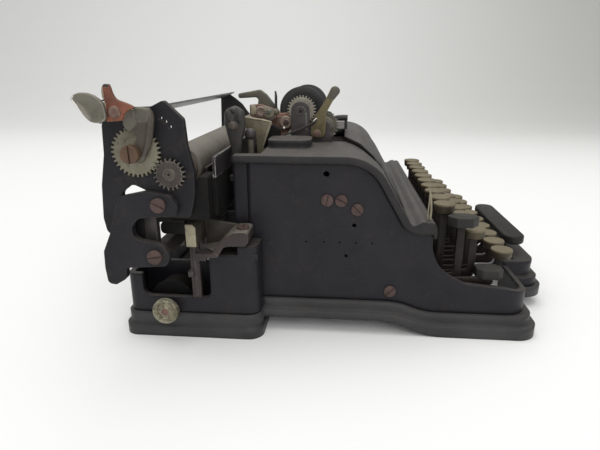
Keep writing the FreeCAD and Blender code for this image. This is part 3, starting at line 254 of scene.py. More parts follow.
STRAP_BROWN = aged("strap_brown", (92, 74, 58), (55, 43, 35), (45, 32, 26), (220, 205, 165),
    (170, 150, 120), size=1.9, stained=0.7, dust_and_sheen_share=0.7, rounding=1.4, bump=0.4, metallic=0.2)
RAIL_DARK = aged("rail_brown", (62, 54, 40), (33, 29, 22), (48, 32, 24), (130, 122, 98),
    (220, 200, 150), size=1.6, stained=0.7, dust_and_sheen_share=0.35, bump=0.3, metallic=0.3)
RUSTY_POST = aged("rusty_post", (52, 36, 32), (26, 20, 19), (60, 28, 22), (130, 108, 90),
    (260, 210, 170), size=2.4, stained=0.8, rough=(0.5, 0.8), bump=0.5, metallic=0.2)
SADDLE_RUST = aged("saddle_casting", (46, 32, 28), (28, 21, 20), (60, 30, 24), (185, 168, 140),
    (280, 250, 210), stained=0.7, dust_and_sheen_share=1.25, edge=0.8, rounding=1.2, worn=0.45, rough=(0.45, 0.75),
    bump=0.45, metallic=0.15)
BLACK_STEEL = aged("black_steel", (10, 9, 9), (6, 6, 6), (20, 14, 11), (30, 26, 22), (50, 40, 32),
    dust_and_sheen_share=0.35, rough=(0.55, 0.85), metallic=0.1, shine=0.15)
PALE_RUST = aged("pale_rust", (300, 165, 110), (180, 100, 70), (90, 50, 36), (360, 260, 190),
    (450, 330, 250), size=2.6, stained=0.75, rough=(0.5, 0.8), bump=0.5, metallic=0.15)
BRIGHT_EDGE = aged("edge_plate", (24, 22, 24), (16, 15, 16), (36, 28, 24), (70, 65, 58),
    (750, 720, 660), size=1, stained=0.5, edge=0.7, edge_gain=12, worn=0.95, rough=(0.34, 0.58),
    bump=0.2, shine=0.35)
CORRODED = aged("corroded_cap", (340, 325, 225), (170, 155, 95), (85, 64, 38), (420, 400, 310),
    (680, 660, 540), size=3.4, stain_low=0.47, stain_high=0.56, stained=0.9, dust_and_sheen_share=0.3, worn=0.9,
    rough=(0.45, 0.8), bump=0.8, depth=0.4, metallic=0.25)
# Near-black discs and dots that paint the shade inside holes and slits
PAINTED_HOLE_SHADE = aged("painted_hole_shade", (6, 6, 7), (4, 4, 5), (12, 9, 8), (20, 18, 16), (30, 26, 22), size=3,
    stained=0.4, dust_and_sheen_share=0.2, rough=(0.7, 0.95), bump=0.3)


# Mesh tools

def at(axis, along, a, b):
    """A point from its place along an axis and its two coordinates across it."""
    if axis == "X":
        return Vector((along, a, b))
    if axis == "Y":
        return Vector((a, along, b))
    return Vector((a, b, along))


def corners(points, fine=6):
    """Outline with rounded corners; a point is (a, b) or (a, b, corner radius)."""
    count = len(points)
    made = []
    for index, point in enumerate(points):
        here = Vector(point[:2])
        before = Vector(points[index - 1][:2]) - here
        after = Vector(points[(index + 1) % count][:2]) - here
        radius = point[2] if len(point) > 2 else 0.0
        if radius <= 0:
            made.append(here)
            continue
        half = before.angle(after) / 2
        reach = min(radius / math.tan(half), 0.49 * before.length, 0.49 * after.length)
        radius = reach * math.tan(half)
        toward = (before.normalized() + after.normalized()).normalized()
        centre = here + toward * (radius / math.sin(half))
        first = here + before.normalized() * reach - centre
        last = here + after.normalized() * reach - centre
        steps = max(2, round(fine * (math.pi - 2 * half) / 1.2) + 1)
        turn = first.angle_signed(last)
        for step in range(steps + 1):
            angle = turn * step / steps
            cosine = math.cos(-angle)
            sine = math.sin(-angle)
            spoke = Vector((first.x * cosine - first.y * sine, first.x * sine + first.y * cosine))
            made.append(centre + spoke)
    return made


def plate(axis, low, high, points, bevel=0.35, steps=2, fine=6):
    """A flat piece with softened rims."""
    mesh = bmesh.new()
    loop = corners(points, fine)
    base = [mesh.verts.new(at(axis, low, *point)) for point in loop]
    top = [mesh.verts.new(at(axis, high, *point)) for point in loop]
    mesh.faces.new(base)
    mesh.faces.new(top)
    count = len(loop)
    rims = []
    for index in range(count):
        after = (index + 1) % count
        mesh.faces.new((base[index], base[after], top[after], top[index]))
        rims.append(mesh.edges.get((base[index], base[after])))
        rims.append(mesh.edges.get((top[index], top[after])))
    bmesh.ops.recalc_face_normals(mesh, faces=mesh.faces)
    if bevel > 0:
        bmesh.ops.bevel(mesh, geom=rims, offset=bevel, segments=steps, profile=0.5,
                        affect="EDGES", clamp_overlap=True)
    return mesh


def block(low, high, near, far, radius=0.0):
    """Outline of a block from above."""
    return [(low, near, radius), (high, near, radius), (high, far, radius), (low, far, radius)]


def upright_block(near, far, low, high, radius=0.5):
    """Outline of a block from the side."""
    return [(near, low, radius), (near, high, radius), (far, high, radius), (far, low, radius)]


def skin(mesh, rows):
    """Faces between each ring of corners and the next."""
    for first, second in zip(rows, rows[1:]):
        for index in range(len(first)):
            after = (index + 1) % len(first)
            mesh.faces.new((first[index], first[after], second[after], second[index]))


def lathe(axis, centre, profile, sides=48):
    """A turned piece; the profile is a list of (place along the axis, radius)."""
    mesh = bmesh.new()
    rings = []
    for along, radius in profile:
        if radius <= 1e-6:
            rings.append([mesh.verts.new(at(axis, along, *centre))])
            continue
        circle = []
        for side in range(sides):
            angle = 2 * math.pi * side / sides
            spot = (centre[0] + radius * math.cos(angle), centre[1] + radius * math.sin(angle))
            circle.append(mesh.verts.new(at(axis, along, *spot)))
        rings.append(circle)
    for first, second in zip(rings, rings[1:]):
        for side in range(sides):
            after = (side + 1) % sides
            corner = [
                first[side % len(first)],
                first[after % len(first)],
                second[after % len(second)],
                second[side % len(second)],
            ]
            unique = []
            for vertex in corner:
                if vertex not in unique:
                    unique.append(vertex)
            if len(unique) > 2:
                mesh.faces.new(unique)
    for end in (rings[0], rings[-1]):
        if len(end) > 1:
            mesh.faces.new(end)
    bmesh.ops.recalc_face_normals(mesh, faces=mesh.faces)
    return mesh


def soft_rod(axis, centre, low, high, radius, edge=0.4, sides=32):
    """A round rod with softened ends."""
    step = edge * 0.3
    profile = [
        (low, 0), (low, radius - edge), (low + step, radius - step), (low + edge, radius),
        (high - edge, radius), (high - step, radius - step), (high, radius - edge), (high, 0),
    ]
    return lathe(axis, centre, profile, sides)


def tube(points, radius, sides=14):
    """A round bar bent along points, with an even or a listed radius."""
    mesh = bmesh.new()
    path = [Vector(point) for point in points]
    radii = radius if isinstance(radius, list) else [radius] * len(path)
    across = None
    rings = []
    for index, here in enumerate(path):
        before = path[max(index - 1, 0)]
        after = path[min(index + 1, len(path) - 1)]
        along = (after - before).normalized()
        if across is None:
            across = along.orthogonal().normalized()
        across = (across - along * across.dot(along)).normalized()
        other = along.cross(across)
        ring = []
        for side in range(sides):
            angle = 2 * math.pi * side / sides
            spoke = across * math.cos(angle) + other * math.sin(angle)
            ring.append(mesh.verts.new(here + spoke * radii[index]))
        rings.append(ring)
    skin(mesh, rings)
    mesh.faces.new(rings[0])
    mesh.faces.new(rings[-1])
    bmesh.ops.recalc_face_normals(mesh, faces=mesh.faces)
    return mesh


def ball(centre, radii, sides=28):
    """A rounded knob."""
    mesh = bmesh.new()
    bmesh.ops.create_uvsphere(mesh, u_segments=sides, v_segments=sides // 2, radius=1.0)
    for vertex in mesh.verts:
        spot = [vertex.co[i] * radii[i] + centre[i] for i in range(3)]
        vertex.co = Vector(spot)
    return mesh


def slotted_head(axis, centre, base, face, radius, angle, width=0.9, depth=0.9):
    """A screw head with its slot; base and face are places along the axis."""
    sign = 1 if face > base else -1
    floor = face - sign * depth
    parts = [lathe(axis, centre, [(base, 0), (base, radius), (floor, radius), (floor, 0)], 40)]
    start = math.asin(width / 2 / radius)
    for turn in (0, math.pi):
        loop = []
        for step in range(17):
            spoke = start + (math.pi - 2 * start) * step / 16 + turn + math.radians(angle)
            loop.append((centre[0] + radius * math.cos(spoke), centre[1] + radius * math.sin(spoke)))
        low, high = sorted((floor - sign * 0.02, face))
        parts.append(plate(axis, low, high, loop, bevel=min(0.35, depth * 0.4)))
    return parts


def gear_loop(centre, teeth, module, phase):
    """Outline of a gear with straight flanks."""
    pitch = teeth * module / 2
    step = 2 * math.pi / teeth
    points = []
    for tooth in range(teeth):
        for reach, share in ((-1.25, -0.29), (0.85, -0.10), (0.85, 0.10), (-1.25, 0.29)):
            radius = pitch + reach * module
            angle = phase + (tooth + share) * step
            points.append((centre[0] + radius * math.cos(angle), centre[1] + radius * math.sin(angle)))
    return points


def sided(sign, *places):
    """Places along X on one side of the machine, in rising order."""
    return sorted(sign * place for place in places)


def mirrored(sign, profile):
    """A lathe's profile on one side of the machine."""
    return [(sign * along, radius) for along, radius in profile]


def smooth_data(name, mesh):
    """Mesh data with every face smooth."""
    data = bpy.data.meshes.new(name)
    mesh.to_mesh(data)
    mesh.free()
    data.polygons.foreach_set("use_smooth", [True] * len(data.polygons))
    return data


class Piece:
    """Parts in mm collected into one object."""

    def __init__(self, name):
        self.name = name
        self.mesh = bmesh.new()
        self.materials = []

    def add(self, parts, material):
        if material not in self.materials:
            self.materials.append(material)
        index = self.materials.index(material)
        for part in parts if isinstance(parts, list) else [parts]:
            for face in part.faces:
                face.material_index = index
            holder = bpy.data.meshes.new("holder")
            part.to_mesh(holder)
            part.free()
            self.mesh.from_mesh(holder)
            bpy.data.meshes.remove(holder)

    def slab(self, material, *shape):
        """A flat part along X."""
        self.add(plate("X", *shape), material)

    def turned(self, material, *shape):
        """A turned part along X."""
        self.add(lathe("X", *shape), material)

    def finish(self, body, slot, replaced=()):
        for vertex in self.mesh.verts:
            vertex.co = Vector((vertex.co.x, vertex.co.y + BACK, vertex.co.z)) * MM
        data = smooth_data(self.name, self.mesh)
        for material in self.materials:
            data.materials.append(material)
        data.set_sharp_from_angle(angle=math.radians(38))
        made = show(self.name, data)
        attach(made, body)
        if replaced:
            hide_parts(*replaced)


# CAD nodes that show as they are

for node, material in {
    "base_casting": FOOT_ENAMEL,
    "rear_housing": ENAMEL,
    "side_panel_left": ENAMEL,
    "side_panel_right": ENAMEL,
    "front_apron": ENAMEL,
    "top_cover": COVER,
    "type_shield": COVER,
    "inner_frame": DARK_STEEL,
    "typebars": LEVER_STEEL,
    "carriage_end_left": CAST,
    "carriage_end_right": CAST,
    "c_brackets": CAST,
    "paper_rest": GREY_STRIP,
    "spring_drum": BLACK_STEEL,
    "escapement": LEVER_STEEL,
}.items():
    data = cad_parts[node].data
    data.materials.clear()
    data.materials.append(material)


# Keys

KEY_PITCH = 19
# Count, first centre along X, offset of the lever, place along Y and top of each row
KEY_ROWS = [
    (10, -85.5, 0, -70, 85),
    (9, -90.5, 0, -90.5, 69),
    (9, -83.5, 4, -112.4, 52.3),
]


def lever_loop(front, top):
    """Side view of a key lever from its eye to the top of its stem."""
    return [
        (26, 24, 6), (26, 36, 6), (14, 35, 5), (6, 33, 8), (front + 2.5, 39, 3), (front + 2.5, top),
        (front - 2.5, top), (front - 2.5, 33, 4), (6, 27, 8), (14, 24, 5),
    ]


def build_key(number, centre, lever, front, top):
    """A round cap with a shallow dish on its lever."""
    key = Piece(f"round_key_{number:02d}")
    under = top - 6.5
    key.slab(LEVER_STEEL, lever - 0.8, lever + 0.8, lever_loop(front, under + 0.4), 0.2)
    spot = (centre, front)
    side = [
        (under, 0), (under, 5.9), (under + 0.25, 6.5), (under + 0.9, 6.9), (top - 1.6, 7.3),
        (top - 1.2, 7.4),
    ]
    face = [
        (top - 1.2, 7.4), (top - 0.5, 7.38), (top - 0.15, 7.2), (top, 6.9), (top, 6.3),
        (top - 0.25, 5.9), (top - 0.42, 4), (top - 0.5, 2), (top - 0.52, 0),
    ]
    # The side of the cap takes the painted shade, the face the lit colour
    key.add(lathe("Z", spot, side, 40), SHADED_KEY_SIDE)
    key.add(lathe("Z", spot, face, 40), KEY_CAP)
    body = f"key_{number:02d}"
    key.finish(body, "key_cap", [body])


number = 1
for count, first, offset, front, top in KEY_ROWS:
    for index in range(count):
        centre = first + KEY_PITCH * index
        build_key(number, centre, centre + offset, front, top)
        number += 1

# Lever along X, place along Y, top, reach and half width of the cap's points
for label, lever, front, top, reach, point in (
    ("shift_key_capitals", -97.2, -80, 80, 10, 1.2),
    ("shift_key_figures", -102.5, -100.2, 44.4, 8.8, 3.2),
):
    key = Piece(label + "_cap")
    key.slab(LEVER_STEEL, lever - 1, lever + 1, lever_loop(front, top - 6.1), 0.25)
    facets = [
        (-106.4, front - 5, 0.5), (-106.4, front + 5, 0.5), (-99.6 - point, front + reach, 0.8),
        (-99.6 + point, front + reach, 0.8), (-92.8, front + 5, 0.5), (-92.8, front - 5, 0.5),
        (-99.6 + point, front - reach, 0.8), (-99.6 - point, front - reach, 0.8),
    ]
    key.add(plate("Z", top - 6.5, top, facets, 0.9, 3, 3), CHARCOAL)
    key.finish(label, "charcoal_cap", [label])

bar = Piece("space_bar_cap")
bar_loop = [(-49, -142, 7.8), (49, -142, 7.8), (49, -125.8, 7.8), (-49, -125.8, 7.8)]
bar.add(plate("Z", 43, 50, bar_loop, 1.7, 4, 10), BAR_CAP)
for arm in (-38, 38):
    bar.slab(LEVER_STEEL, arm - 1, arm + 1, lever_loop(-128, 44), 0.25)
bar.finish("space_bar", "charcoal_cap", ["space_bar"])


# Platen and line spacing

PLATEN = (97.8, 114.5)
LARGE = (116.1, 126.9)
MODULE = 0.85
LARGE_TEETH = 32
SMALL_TEETH = 20

platen = Piece("platen_roller")
platen.turned(RUBBER, PLATEN, [
    (-128, 0), (-128, 11.4), (-127.7, 12.1), (-126.9, 12.4), (-124, 12.5), (-60, 12.5), (0, 12.5),
    (60, 12.5), (124, 12.5), (126.9, 12.4), (127.7, 12.1), (128, 11.4), (128, 0),
], 72)
for sign in SIDES.values():
    hub = [
        (127.9, 0), (127.9, 10.2), (129, 10.6), (130.4, 10.5), (131, 9.8), (131.2, 8.8),
        (132.6, 8.4), (133.2, 8), (135.6, 7.8), (136, 7.4), (136, 0),
    ]
    platen.turned(RUSTY_HUB, PLATEN, mirrored(sign, hub), 56)
platen.add(soft_rod("X", PLATEN, -150.2, 151, 3, 0.3), RUSTY_HUB)
knob = [(148, 0), (148, 7), (148.8, 10.2), (149.6, 10.6)]
knob += [(150 + 0.85 * step, 11 if step % 2 else 10.5) for step in range(10)]
knob += [(158.6, 10.6), (159.6, 9.4), (160.4, 7.4), (160, 3.6), (160.2, 3), (160.2, 0)]
platen.turned(CHARCOAL, PLATEN, knob, 60)
along = math.atan2(LARGE[1] - PLATEN[1], LARGE[0] - PLATEN[0])
teeth = gear_loop(PLATEN, SMALL_TEETH, MODULE, along + math.pi / SMALL_TEETH)
platen.slab(BROWN_GEAR, -150.1, -147.5, teeth, 0.15, 1)
platen.turned(STRAP_BROWN, PLATEN, [
    (-150, 3.4), (-150.35, 2.9), (-150.6, 2), (-150.7, 1.1), (-150.5, 0.9), (-150.4, 0),
], 32)
# A black dot on the boss's end: painted shade of its centre hole
dot = [(-150.72, 0), (-150.74, 0.75), (-150.6, 0.85), (-150.2, 0.9)]
platen.turned(PAINTED_HOLE_SHADE, PLATEN, dot, 20)
platen.finish("platen", "platen_rubber", ["platen"])

gear = Piece("line_space_gear_wheel")
back = math.atan2(PLATEN[1] - LARGE[1], PLATEN[0] - LARGE[0])
gear.slab(IVORY_GEAR, -150.1, -147.5, gear_loop(LARGE, LARGE_TEETH, MODULE, back), 0.18)
gear.turned(IVORY_GEAR, LARGE, [
    (-150, 7.4), (-150.3, 7.2), (-150.4, 6.2), (-150.9, 6), (-151.1, 5.4), (-151.1, 2.6),
    (-150, 2.6),
], 56)
gear.finish("line_space_gear", "tarnished_gear", ["line_space_gear"])


def spoon_mesh():
    """A dished finger piece with a rolled rim."""
    loop = corners([
        (144.1, 156.6, 2), (142.3, 158.8, 2), (139.7, 159.7, 3), (135.2, 159.6, 6), (131.5, 158.4, 8),
        (128.9, 156.5, 6), (126.8, 154.1, 6), (126, 150.8, 6), (125.8, 146.5, 3), (127.3, 144.6, 2),
        (131.3, 143.7, 5), (134.8, 144.2, 4), (137.6, 146.8, 6), (140.2, 151.1, 8), (142.9, 154.4, 5),
    ], 8)
    centre = sum(loop, Vector((0, 0))) / len(loop)
    mesh = bmesh.new()
    front = [
        (1, -158.6), (0.995, -159.4), (0.97, -160.2), (0.93, -160.4), (0.87, -160.2),
        (0.74, -159.6), (0.56, -159.15), (0.34, -158.9), (0.15, -158.82),
    ]
    rear = [(0.97, -158), (0.8, -157.75), (0.4, -157.5)]
    rows = []
    for share, level in front + rear:
        spots = [centre + (point - centre) * share for point in loop]
        rows.append([mesh.verts.new(at("X", level, *spot)) for spot in spots])
    rows = rows[:len(front) - 1:-1] + rows[:len(front)]
    skin(mesh, rows)
    for end, level in ((rows[0], -157.45), (rows[-1], -158.8)):
        middle = mesh.verts.new(at("X", level, *centre))
        for index in range(len(loop)):
            mesh.faces.new((end[index], end[(index + 1) % len(loop)], middle))
    bmesh.ops.recalc_face_normals(mesh, faces=mesh.faces)
    return mesh


lever = Piece("line_space_arm")
strap_loop = [
    (104.6, 151.9, 2), (102.6, 148.6, 3), (102.4, 145.5, 4), (104, 136, 8), (105.6, 130.7, 6),
    (108.4, 125, 3), (112.9, 121.6, 3), (118.5, 121.6, 4), (119.6, 127, 5), (115.2, 131.4, 4),
    (112.8, 135.9, 6), (112.4, 142.7, 5), (113.6, 146.1, 4), (113.2, 150.6, 3),
]
lever.slab(STRAP_BROWN, -154.4, -151.4, strap_loop, 1.2, 4, 10)
web_loop = [(117, 146, 1), (109, 146, 1), (109, 136.5, 1), (114.6, 137.5, 1)]
lever.slab(STRAP_BROWN, -153.6, -151.5, web_loop, 0.4)
bead = [
    (-154.3, 104.6, 148), (-154.6, 105.2, 141), (-154.6, 106.8, 133), (-154.5, 109.6, 126.4),
    (-154.2, 112.6, 123.2),
]
lever.add(tube(bead, [0.7, 1.1, 1.15, 1.1, 0.7], 12), STRAP_BROWN)
lever.add(ball((-153.7, 109, 147.8), (1.9, 5.8, 4.4)), TAUPE)
lobe_loop = [
    (112.2, 150.6, 2), (115.4, 151.2, 3), (118.2, 149.8, 3), (119.6, 146.8, 3), (119.6, 142.4, 3),
    (118, 139.6, 2), (114.6, 139, 2), (112, 142.6, 2),
]
lever.slab(TAUPE, -155.4, -151.8, lobe_loop, 1.5, 4, 8)
lever.add(ball((-153.2, 113, 124.6), (1.9, 4.2, 3.2)), TAUPE)
bracket_loop = [
    (127.7, 162.8, 1.2), (126.6, 164, 1), (124.3, 164, 1), (123.6, 162.5, 1.5), (122.8, 159.1, 8),
    (121.2, 156.1, 5), (116.4, 154.5, 6), (112.9, 153, 2), (111.3, 151.8, 0.6), (113.6, 151, 2),
    (115.9, 149.8, 3), (117.5, 147.7, 3), (118.3, 145.2, 1), (121, 144.7, 3), (127.5, 144.3, 1),
    (127.4, 148.1, 4), (127.2, 153.6, 6), (127.3, 156.6, 6), (127.6, 159.4, 4),
]
lever.slab(ORANGE_RUST, -157.4, -154.4, bracket_loop, 0.9, 4, 8)
lever.turned(PINK_RUST, (122.2, 149.6), [
    (-157.2, 0), (-157.2, 3.3), (-158.2, 3.3), (-158.9, 2.9), (-159.2, 2.2), (-159, 1.5),
    (-158.5, 1.2), (-158.4, 0),
], 36)
lever.slab(PINK_RUST, -158.6, -157.3, [
    (119.6, 151.6, 0.6), (118.6, 149.6, 1), (119.2, 147.2, 0.6), (120, 149.4),
], 0.3)
lever.slab(SLATE, -157.6, -154.3, [
    (127.8, 162.4, 1.2), (126.6, 164, 1), (124.3, 164, 1), (123.4, 162, 1),
], 0.8, 3)
bead = [(-157.3, 127.6, 162.2), (-157.4, 127.7, 160), (-157.4, 127.6, 157.6), (-157.4, 127.4, 156.2)]
lever.add(tube(bead, [0.3, 0.45, 0.45, 0.3], 10), CREAM_BRASS)
lever.slab(CREAM_BRASS, -157.7, -156.2, [
    (128.2, 154.6, 0.6), (126.6, 154.9, 0.6), (126.6, 149.2, 0.6), (127.4, 149, 0.5),
], 0.3)
# A black slit on the bracket: painted shade of an opening
lever.slab(PAINTED_HOLE_SHADE, -157.9, -156.4, [
    (128.6, 155.9, 0.3), (126.8, 156.1, 0.3), (126.8, 155.2, 0.3), (128.7, 155.1, 0.3),
], 0.2, 1)
lever.add(spoon_mesh(), NICKEL)
rim = [
    (-160, 141.6, 158.9), (-160.1, 143, 157.9), (-160.15, 143.8, 156.6), (-160.15, 142.9, 154.8),
    (-160.15, 141.4, 152.9), (-160.1, 139.8, 150.4), (-160, 138.4, 148.2),
]
lever.add(tube(rim, [0.2, 0.4, 0.5, 0.5, 0.42, 0.32, 0.18], 12), POLISH_AND_GLINT)
lever.finish("line_space_lever", "bright_steel", ["line_space_lever"])


# Spools and ribbon drive

SPOOL = (32, 142.2)
SMALL = (14.3, 131.3)
RIBBON_MODULE = 0.743
RIBBON_TEETH = 28
PADDLE_PIN = (19.5, 126.5)

for side, sign in SIDES.items():
    spool = Piece("ribbon_spool_" + side)
    toward = math.atan2(SMALL[1] - SPOOL[1], SMALL[0] - SPOOL[0])
    for low, high in ((30, 31), (20, 21)):
        profile = [
            (low, 0), (low, 16.9), (low + 0.2, 17.4), (high - 0.2, 17.4), (high, 16.9), (high, 13),
            (high - 0.25, 12.4), (high - 0.25, 7.4), (high, 6.9), (high, 0),
        ]
        spool.turned(SPOOL_BLACK, SPOOL, mirrored(sign, profile), 72)
    wound = [(20.9, 0), (20.9, 10.9)]
    wound += [(21.2 + 0.44 * step, 11 - 0.18 * (step % 2)) for step in range(20)]
    wound += [(30.1, 10.9), (30.1, 0)]
    spool.turned(RIBBON, SPOOL, mirrored(sign, wound), 56)
    low, high = sided(sign, 35.5, 37.5)
    teeth = gear_loop(SPOOL, RIBBON_TEETH, RIBBON_MODULE, toward)
    spool.slab(PALE_GEAR, low, high, teeth, 0.12, 1)
    hub = [(30.5, 0), (30.5, 5), (35.6, 5), (37.4, 5), (37.9, 4.6), (38, 2), (38, 0)]
    spool.turned(PALE_GEAR, SPOOL, mirrored(sign, hub), 36)
    spool.add(soft_rod("X", SPOOL, *sided(sign, 19, 46.3), 2, 0.3, 24), SCREW_RUST)
    spool.finish("spool_" + side, "spool_enamel", ["spool_" + side])

drive = Piece("ribbon_drive_gear")
away = math.atan2(SPOOL[1] - SMALL[1], SPOOL[0] - SMALL[0])
teeth = gear_loop(SMALL, RIBBON_TEETH, RIBBON_MODULE, away + math.pi / RIBBON_TEETH)
drive.slab(TAUPE, -37.5, -35.5, teeth, 0.12, 1)
drive.add(soft_rod("X", SMALL, -48, -34, 2, 0.3, 24), SCREW_RUST)
drive.turned(TAUPE, SMALL, [
    (-37.4, 6.5), (-37.9, 6.3), (-38.3, 5.4), (-38.5, 3), (-40.2, 2.8), (-40.2, 2),
], 36)
drive.finish("ribbon_gear", "tarnished_gear", ["ribbon_gear"])

paddle = Piece("reversing_paddle")
paddle.slab(BRASS, -50.5, -48.7, [
    (24, 123, 4), (24, 134, 4), (18.5, 143, 4), (14, 150, 6), (8.5, 161.5, 3.4), (1.5, 158, 3.4),
    (8.5, 149.5, 6), (13, 141, 5), (13.5, 124, 4),
], 0.35, 2, 9)
paddle.slab(TAUPE, -50.65, -48.6, [
    (12.6, 151.4, 1), (8.5, 161.5, 3.4), (1.5, 158, 3.4), (7.2, 151, 1),
], 0.5, 2, 9)
paddle.slab(SLATE, -51.6, -50.2, [
    (44.7, 124.5, 0.5), (45, 125.6, 0.5), (32, 130.3, 4), (23.1, 134.6, 1), (20.1, 137.5, 0.6),
    (19, 136.6, 0.6), (21.3, 133.4, 1.5), (31.2, 128.9, 4),
], 0.25)
# A painted glint: a bright bar at the link's pivot
glint = [(-51.9, 22.4, 135.3), (-52, 20.9, 136.7), (-51.9, 19.8, 137.7)]
paddle.add(tube(glint, [0.4, 0.65, 0.35], 10), POLISH_AND_GLINT)
paddle.turned(PINK_RUST, PADDLE_PIN, [(-50.4, 2.8), (-51.2, 2.7), (-51.6, 2.1), (-51.6, 0)], 28)
paddle.finish("ribbon_paddle", "old_brass", ["ribbon_paddle"])

elbow = Piece("ribbon_elbow")
elbow.slab(TAUPE, -20, -16, [
    (84.3, 149.9, 1.8), (84.3, 153.7, 1.8), (66.3, 156.9, 3.5), (61.3, 153.2, 4),
    (50.5, 139.5, 4), (54, 131.8, 4), (62.5, 134, 4), (69, 144.5, 2), (67.6, 151, 2.5),
], 1.1, 4, 8)
elbow.finish("ribbon_lever", "dark_steel", ["ribbon_lever"])

for side, sign in SIDES.items():
    stand = Piece("spool_stand_" + side)
    low, high = sided(sign, 44.5, 46.5)
    stand.slab(STAND_BROWN, low, high, [
        (8, 120), (8, 125, 2), (10.1, 127.5, 2), (10.1, 135.5, 4), (18.5, 135.5, 4), (18.5, 130.3, 1.5),
        (25, 129.5, 2), (25.5, 149.2, 6.6), (38.9, 149.2, 6.6), (39.5, 120, 1),
    ], 0.4, 3, 9)
    # A ring, and a black disc that paints the shade of the hole inside it
    for profile, material in (
        ([(46.4, 3.6), (46.62, 3.4), (46.62, 1.5), (46.5, 1.4)], STAND_BROWN),
        ([(46.5, 0), (46.64, 0.9), (46.55, 1.35), (46.3, 1.4)], PAINTED_HOLE_SHADE),
    ):
        stand.turned(material, SPOOL, mirrored(sign, profile), 24)
    stand.slab(GREY_STRIP, *sided(sign, 46.4, 46.9), [
        (26.4, 128, 0.6), (27.6, 141, 0.8), (28.4, 141, 0.8), (28.2, 128, 0.6),
    ], 0.15, 1)
    stand.add(soft_rod("X", PADDLE_PIN, *sided(sign, 46, 50.5), 1.5, 0.2, 18), SCREW_RUST)
    replaced = ["ribbon_frame"] if side == "left" else []
    stand.finish("frame", "dark_steel", replaced)

point = Piece("printing_point_bar")
point.add(plate("Z", 100, 104, block(-105, 105, 55, 68.5, 1), 0.6, 3), SLATE)
point.finish("frame", "dark_steel")

guide = Piece("type_guide_plates")
guide.slab(OLIVE_BRASS, -62, -60, [
    (74.6, 140, 1), (64.4, 137.5, 3), (51.1, 135.6, 1), (54.2, 128.3, 2), (57.5, 118.7, 3), (57.5, 103),
    (62.5, 103), (62.5, 123, 3), (70.5, 131.8, 3),
], 0.4, 2, 8)
bead = [(-61.6, 74, 139.8), (-61.9, 64.4, 137.9), (-61.9, 58, 137), (-61.6, 51.6, 135.6)]
guide.add(tube(bead, [0.5, 0.8, 0.8, 0.6], 12), CREAM_BRASS)
bead = [(-61.8, 51.8, 135.2), (-61.9, 54.6, 128.2), (-61.8, 57.6, 119)]
guide.add(tube(bead, [0.6, 0.75, 0.4], 12), CREAM_BRASS)
for low, high, loop, bevel, steps, material in (
    (-57, -52, [
        (62, 103), (62, 131, 2), (52, 133.6, 2), (46, 130, 3), (46, 118, 5), (55, 108, 2), (55, 103),
    ], 0.8, 3, BLACK_STEEL),
    (-42, -39, [
        (71, 146.5, 1), (63, 147, 2), (52.2, 143.6, 1), (50.5, 137, 2), (56, 133, 3), (57, 103),
        (62, 103), (62, 134, 3), (71, 138.5, 1),
    ], 0.5, 3, PINK_RUST),
    (-42.8, -41.8, [
        (70.2, 146, 1), (66.6, 146.4, 2), (65, 139.6, 2), (69.6, 138.8, 1),
    ], 0.3, 2, CREAM_BRASS),
    (-43.2, -41.8, [
        (60.4, 145.6, 1), (53.6, 143.6, 1), (52.2, 138.4, 2), (57.4, 136.2, 2), (60.8, 139.2, 2),
    ], 0.4, 2, IVORY_GEAR),
    (-35.2, -32.2, [
        (57.5, 139.4, 1.5), (42, 140.3, 2), (38, 134.2, 2), (40.4, 128, 2), (46.8, 121, 1),
        (54.2, 131, 3), (57.5, 133, 1.5),
    ], 0.5, 3, PALE_RUST),
    (-36.4, -35, [
        (52.6, 137.6, 1), (47.6, 137.8, 2), (45.8, 130.6, 2), (48, 125.2, 1), (53, 131.6, 2),
    ], 0.4, 2, PINK_RUST),
):
    guide.slab(material, low, high, loop, bevel, steps, 8)
guide.add(soft_rod("X", (43.4, 133.5), -43, -34, 2.4, 0.6, 28), SCREW_RUST)
guide.turned(ROSE_DISC, (43.4, 133.8), [
    (-40.6, 0), (-40.6, 4.4), (-41.2, 4.7), (-42, 4.7), (-42.6, 4.3), (-42.8, 3.2), (-42.4, 1),
    (-42.4, 0),
], 36)
guide.add(ball((-42.6, 45, 129.4), (0.8, 1, 1)), POLISH_AND_GLINT)
guide.add(soft_rod("X", (55.5, 137), -43, -14, 2.6, 0.4, 28), TAUPE)
guide.turned(ROSE_DISC, (62.4, 141.2), [
    (-41.8, 4.2), (-42.8, 4.1), (-43.3, 3.6), (-43.4, 2), (-43, 1.2), (-43, 0),
], 32)
# A ring of black dots on the disc: painted shade of its holes
for step in range(11):
    angle = 2 * math.pi * step / 11
    spot = (-43.3, 62.4 + 2.9 * math.cos(angle), 141.2 + 2.9 * math.sin(angle))
    guide.add(ball(spot, (0.35, 0.5, 0.5), 10), PAINTED_HOLE_SHADE)
guide.turned(GREY_STRIP, (56.6, 141.4), [(-41.8, 2), (-43.4, 1.9), (-43.9, 1.4), (-43.9, 0)], 24)
guide.add(ball((-42, 50.6, 141.6), (1.2, 2.6, 2.2)), IVORY_GEAR)
upright = [(-26, 53.2, 134), (-26, 53.1, 146), (-26, 53, 152), (-26, 53.4, 156)]
guide.add(tube(upright, [1.1, 1.1, 1, 0.6]), SLATE)
guide.finish("frame", "old_brass")

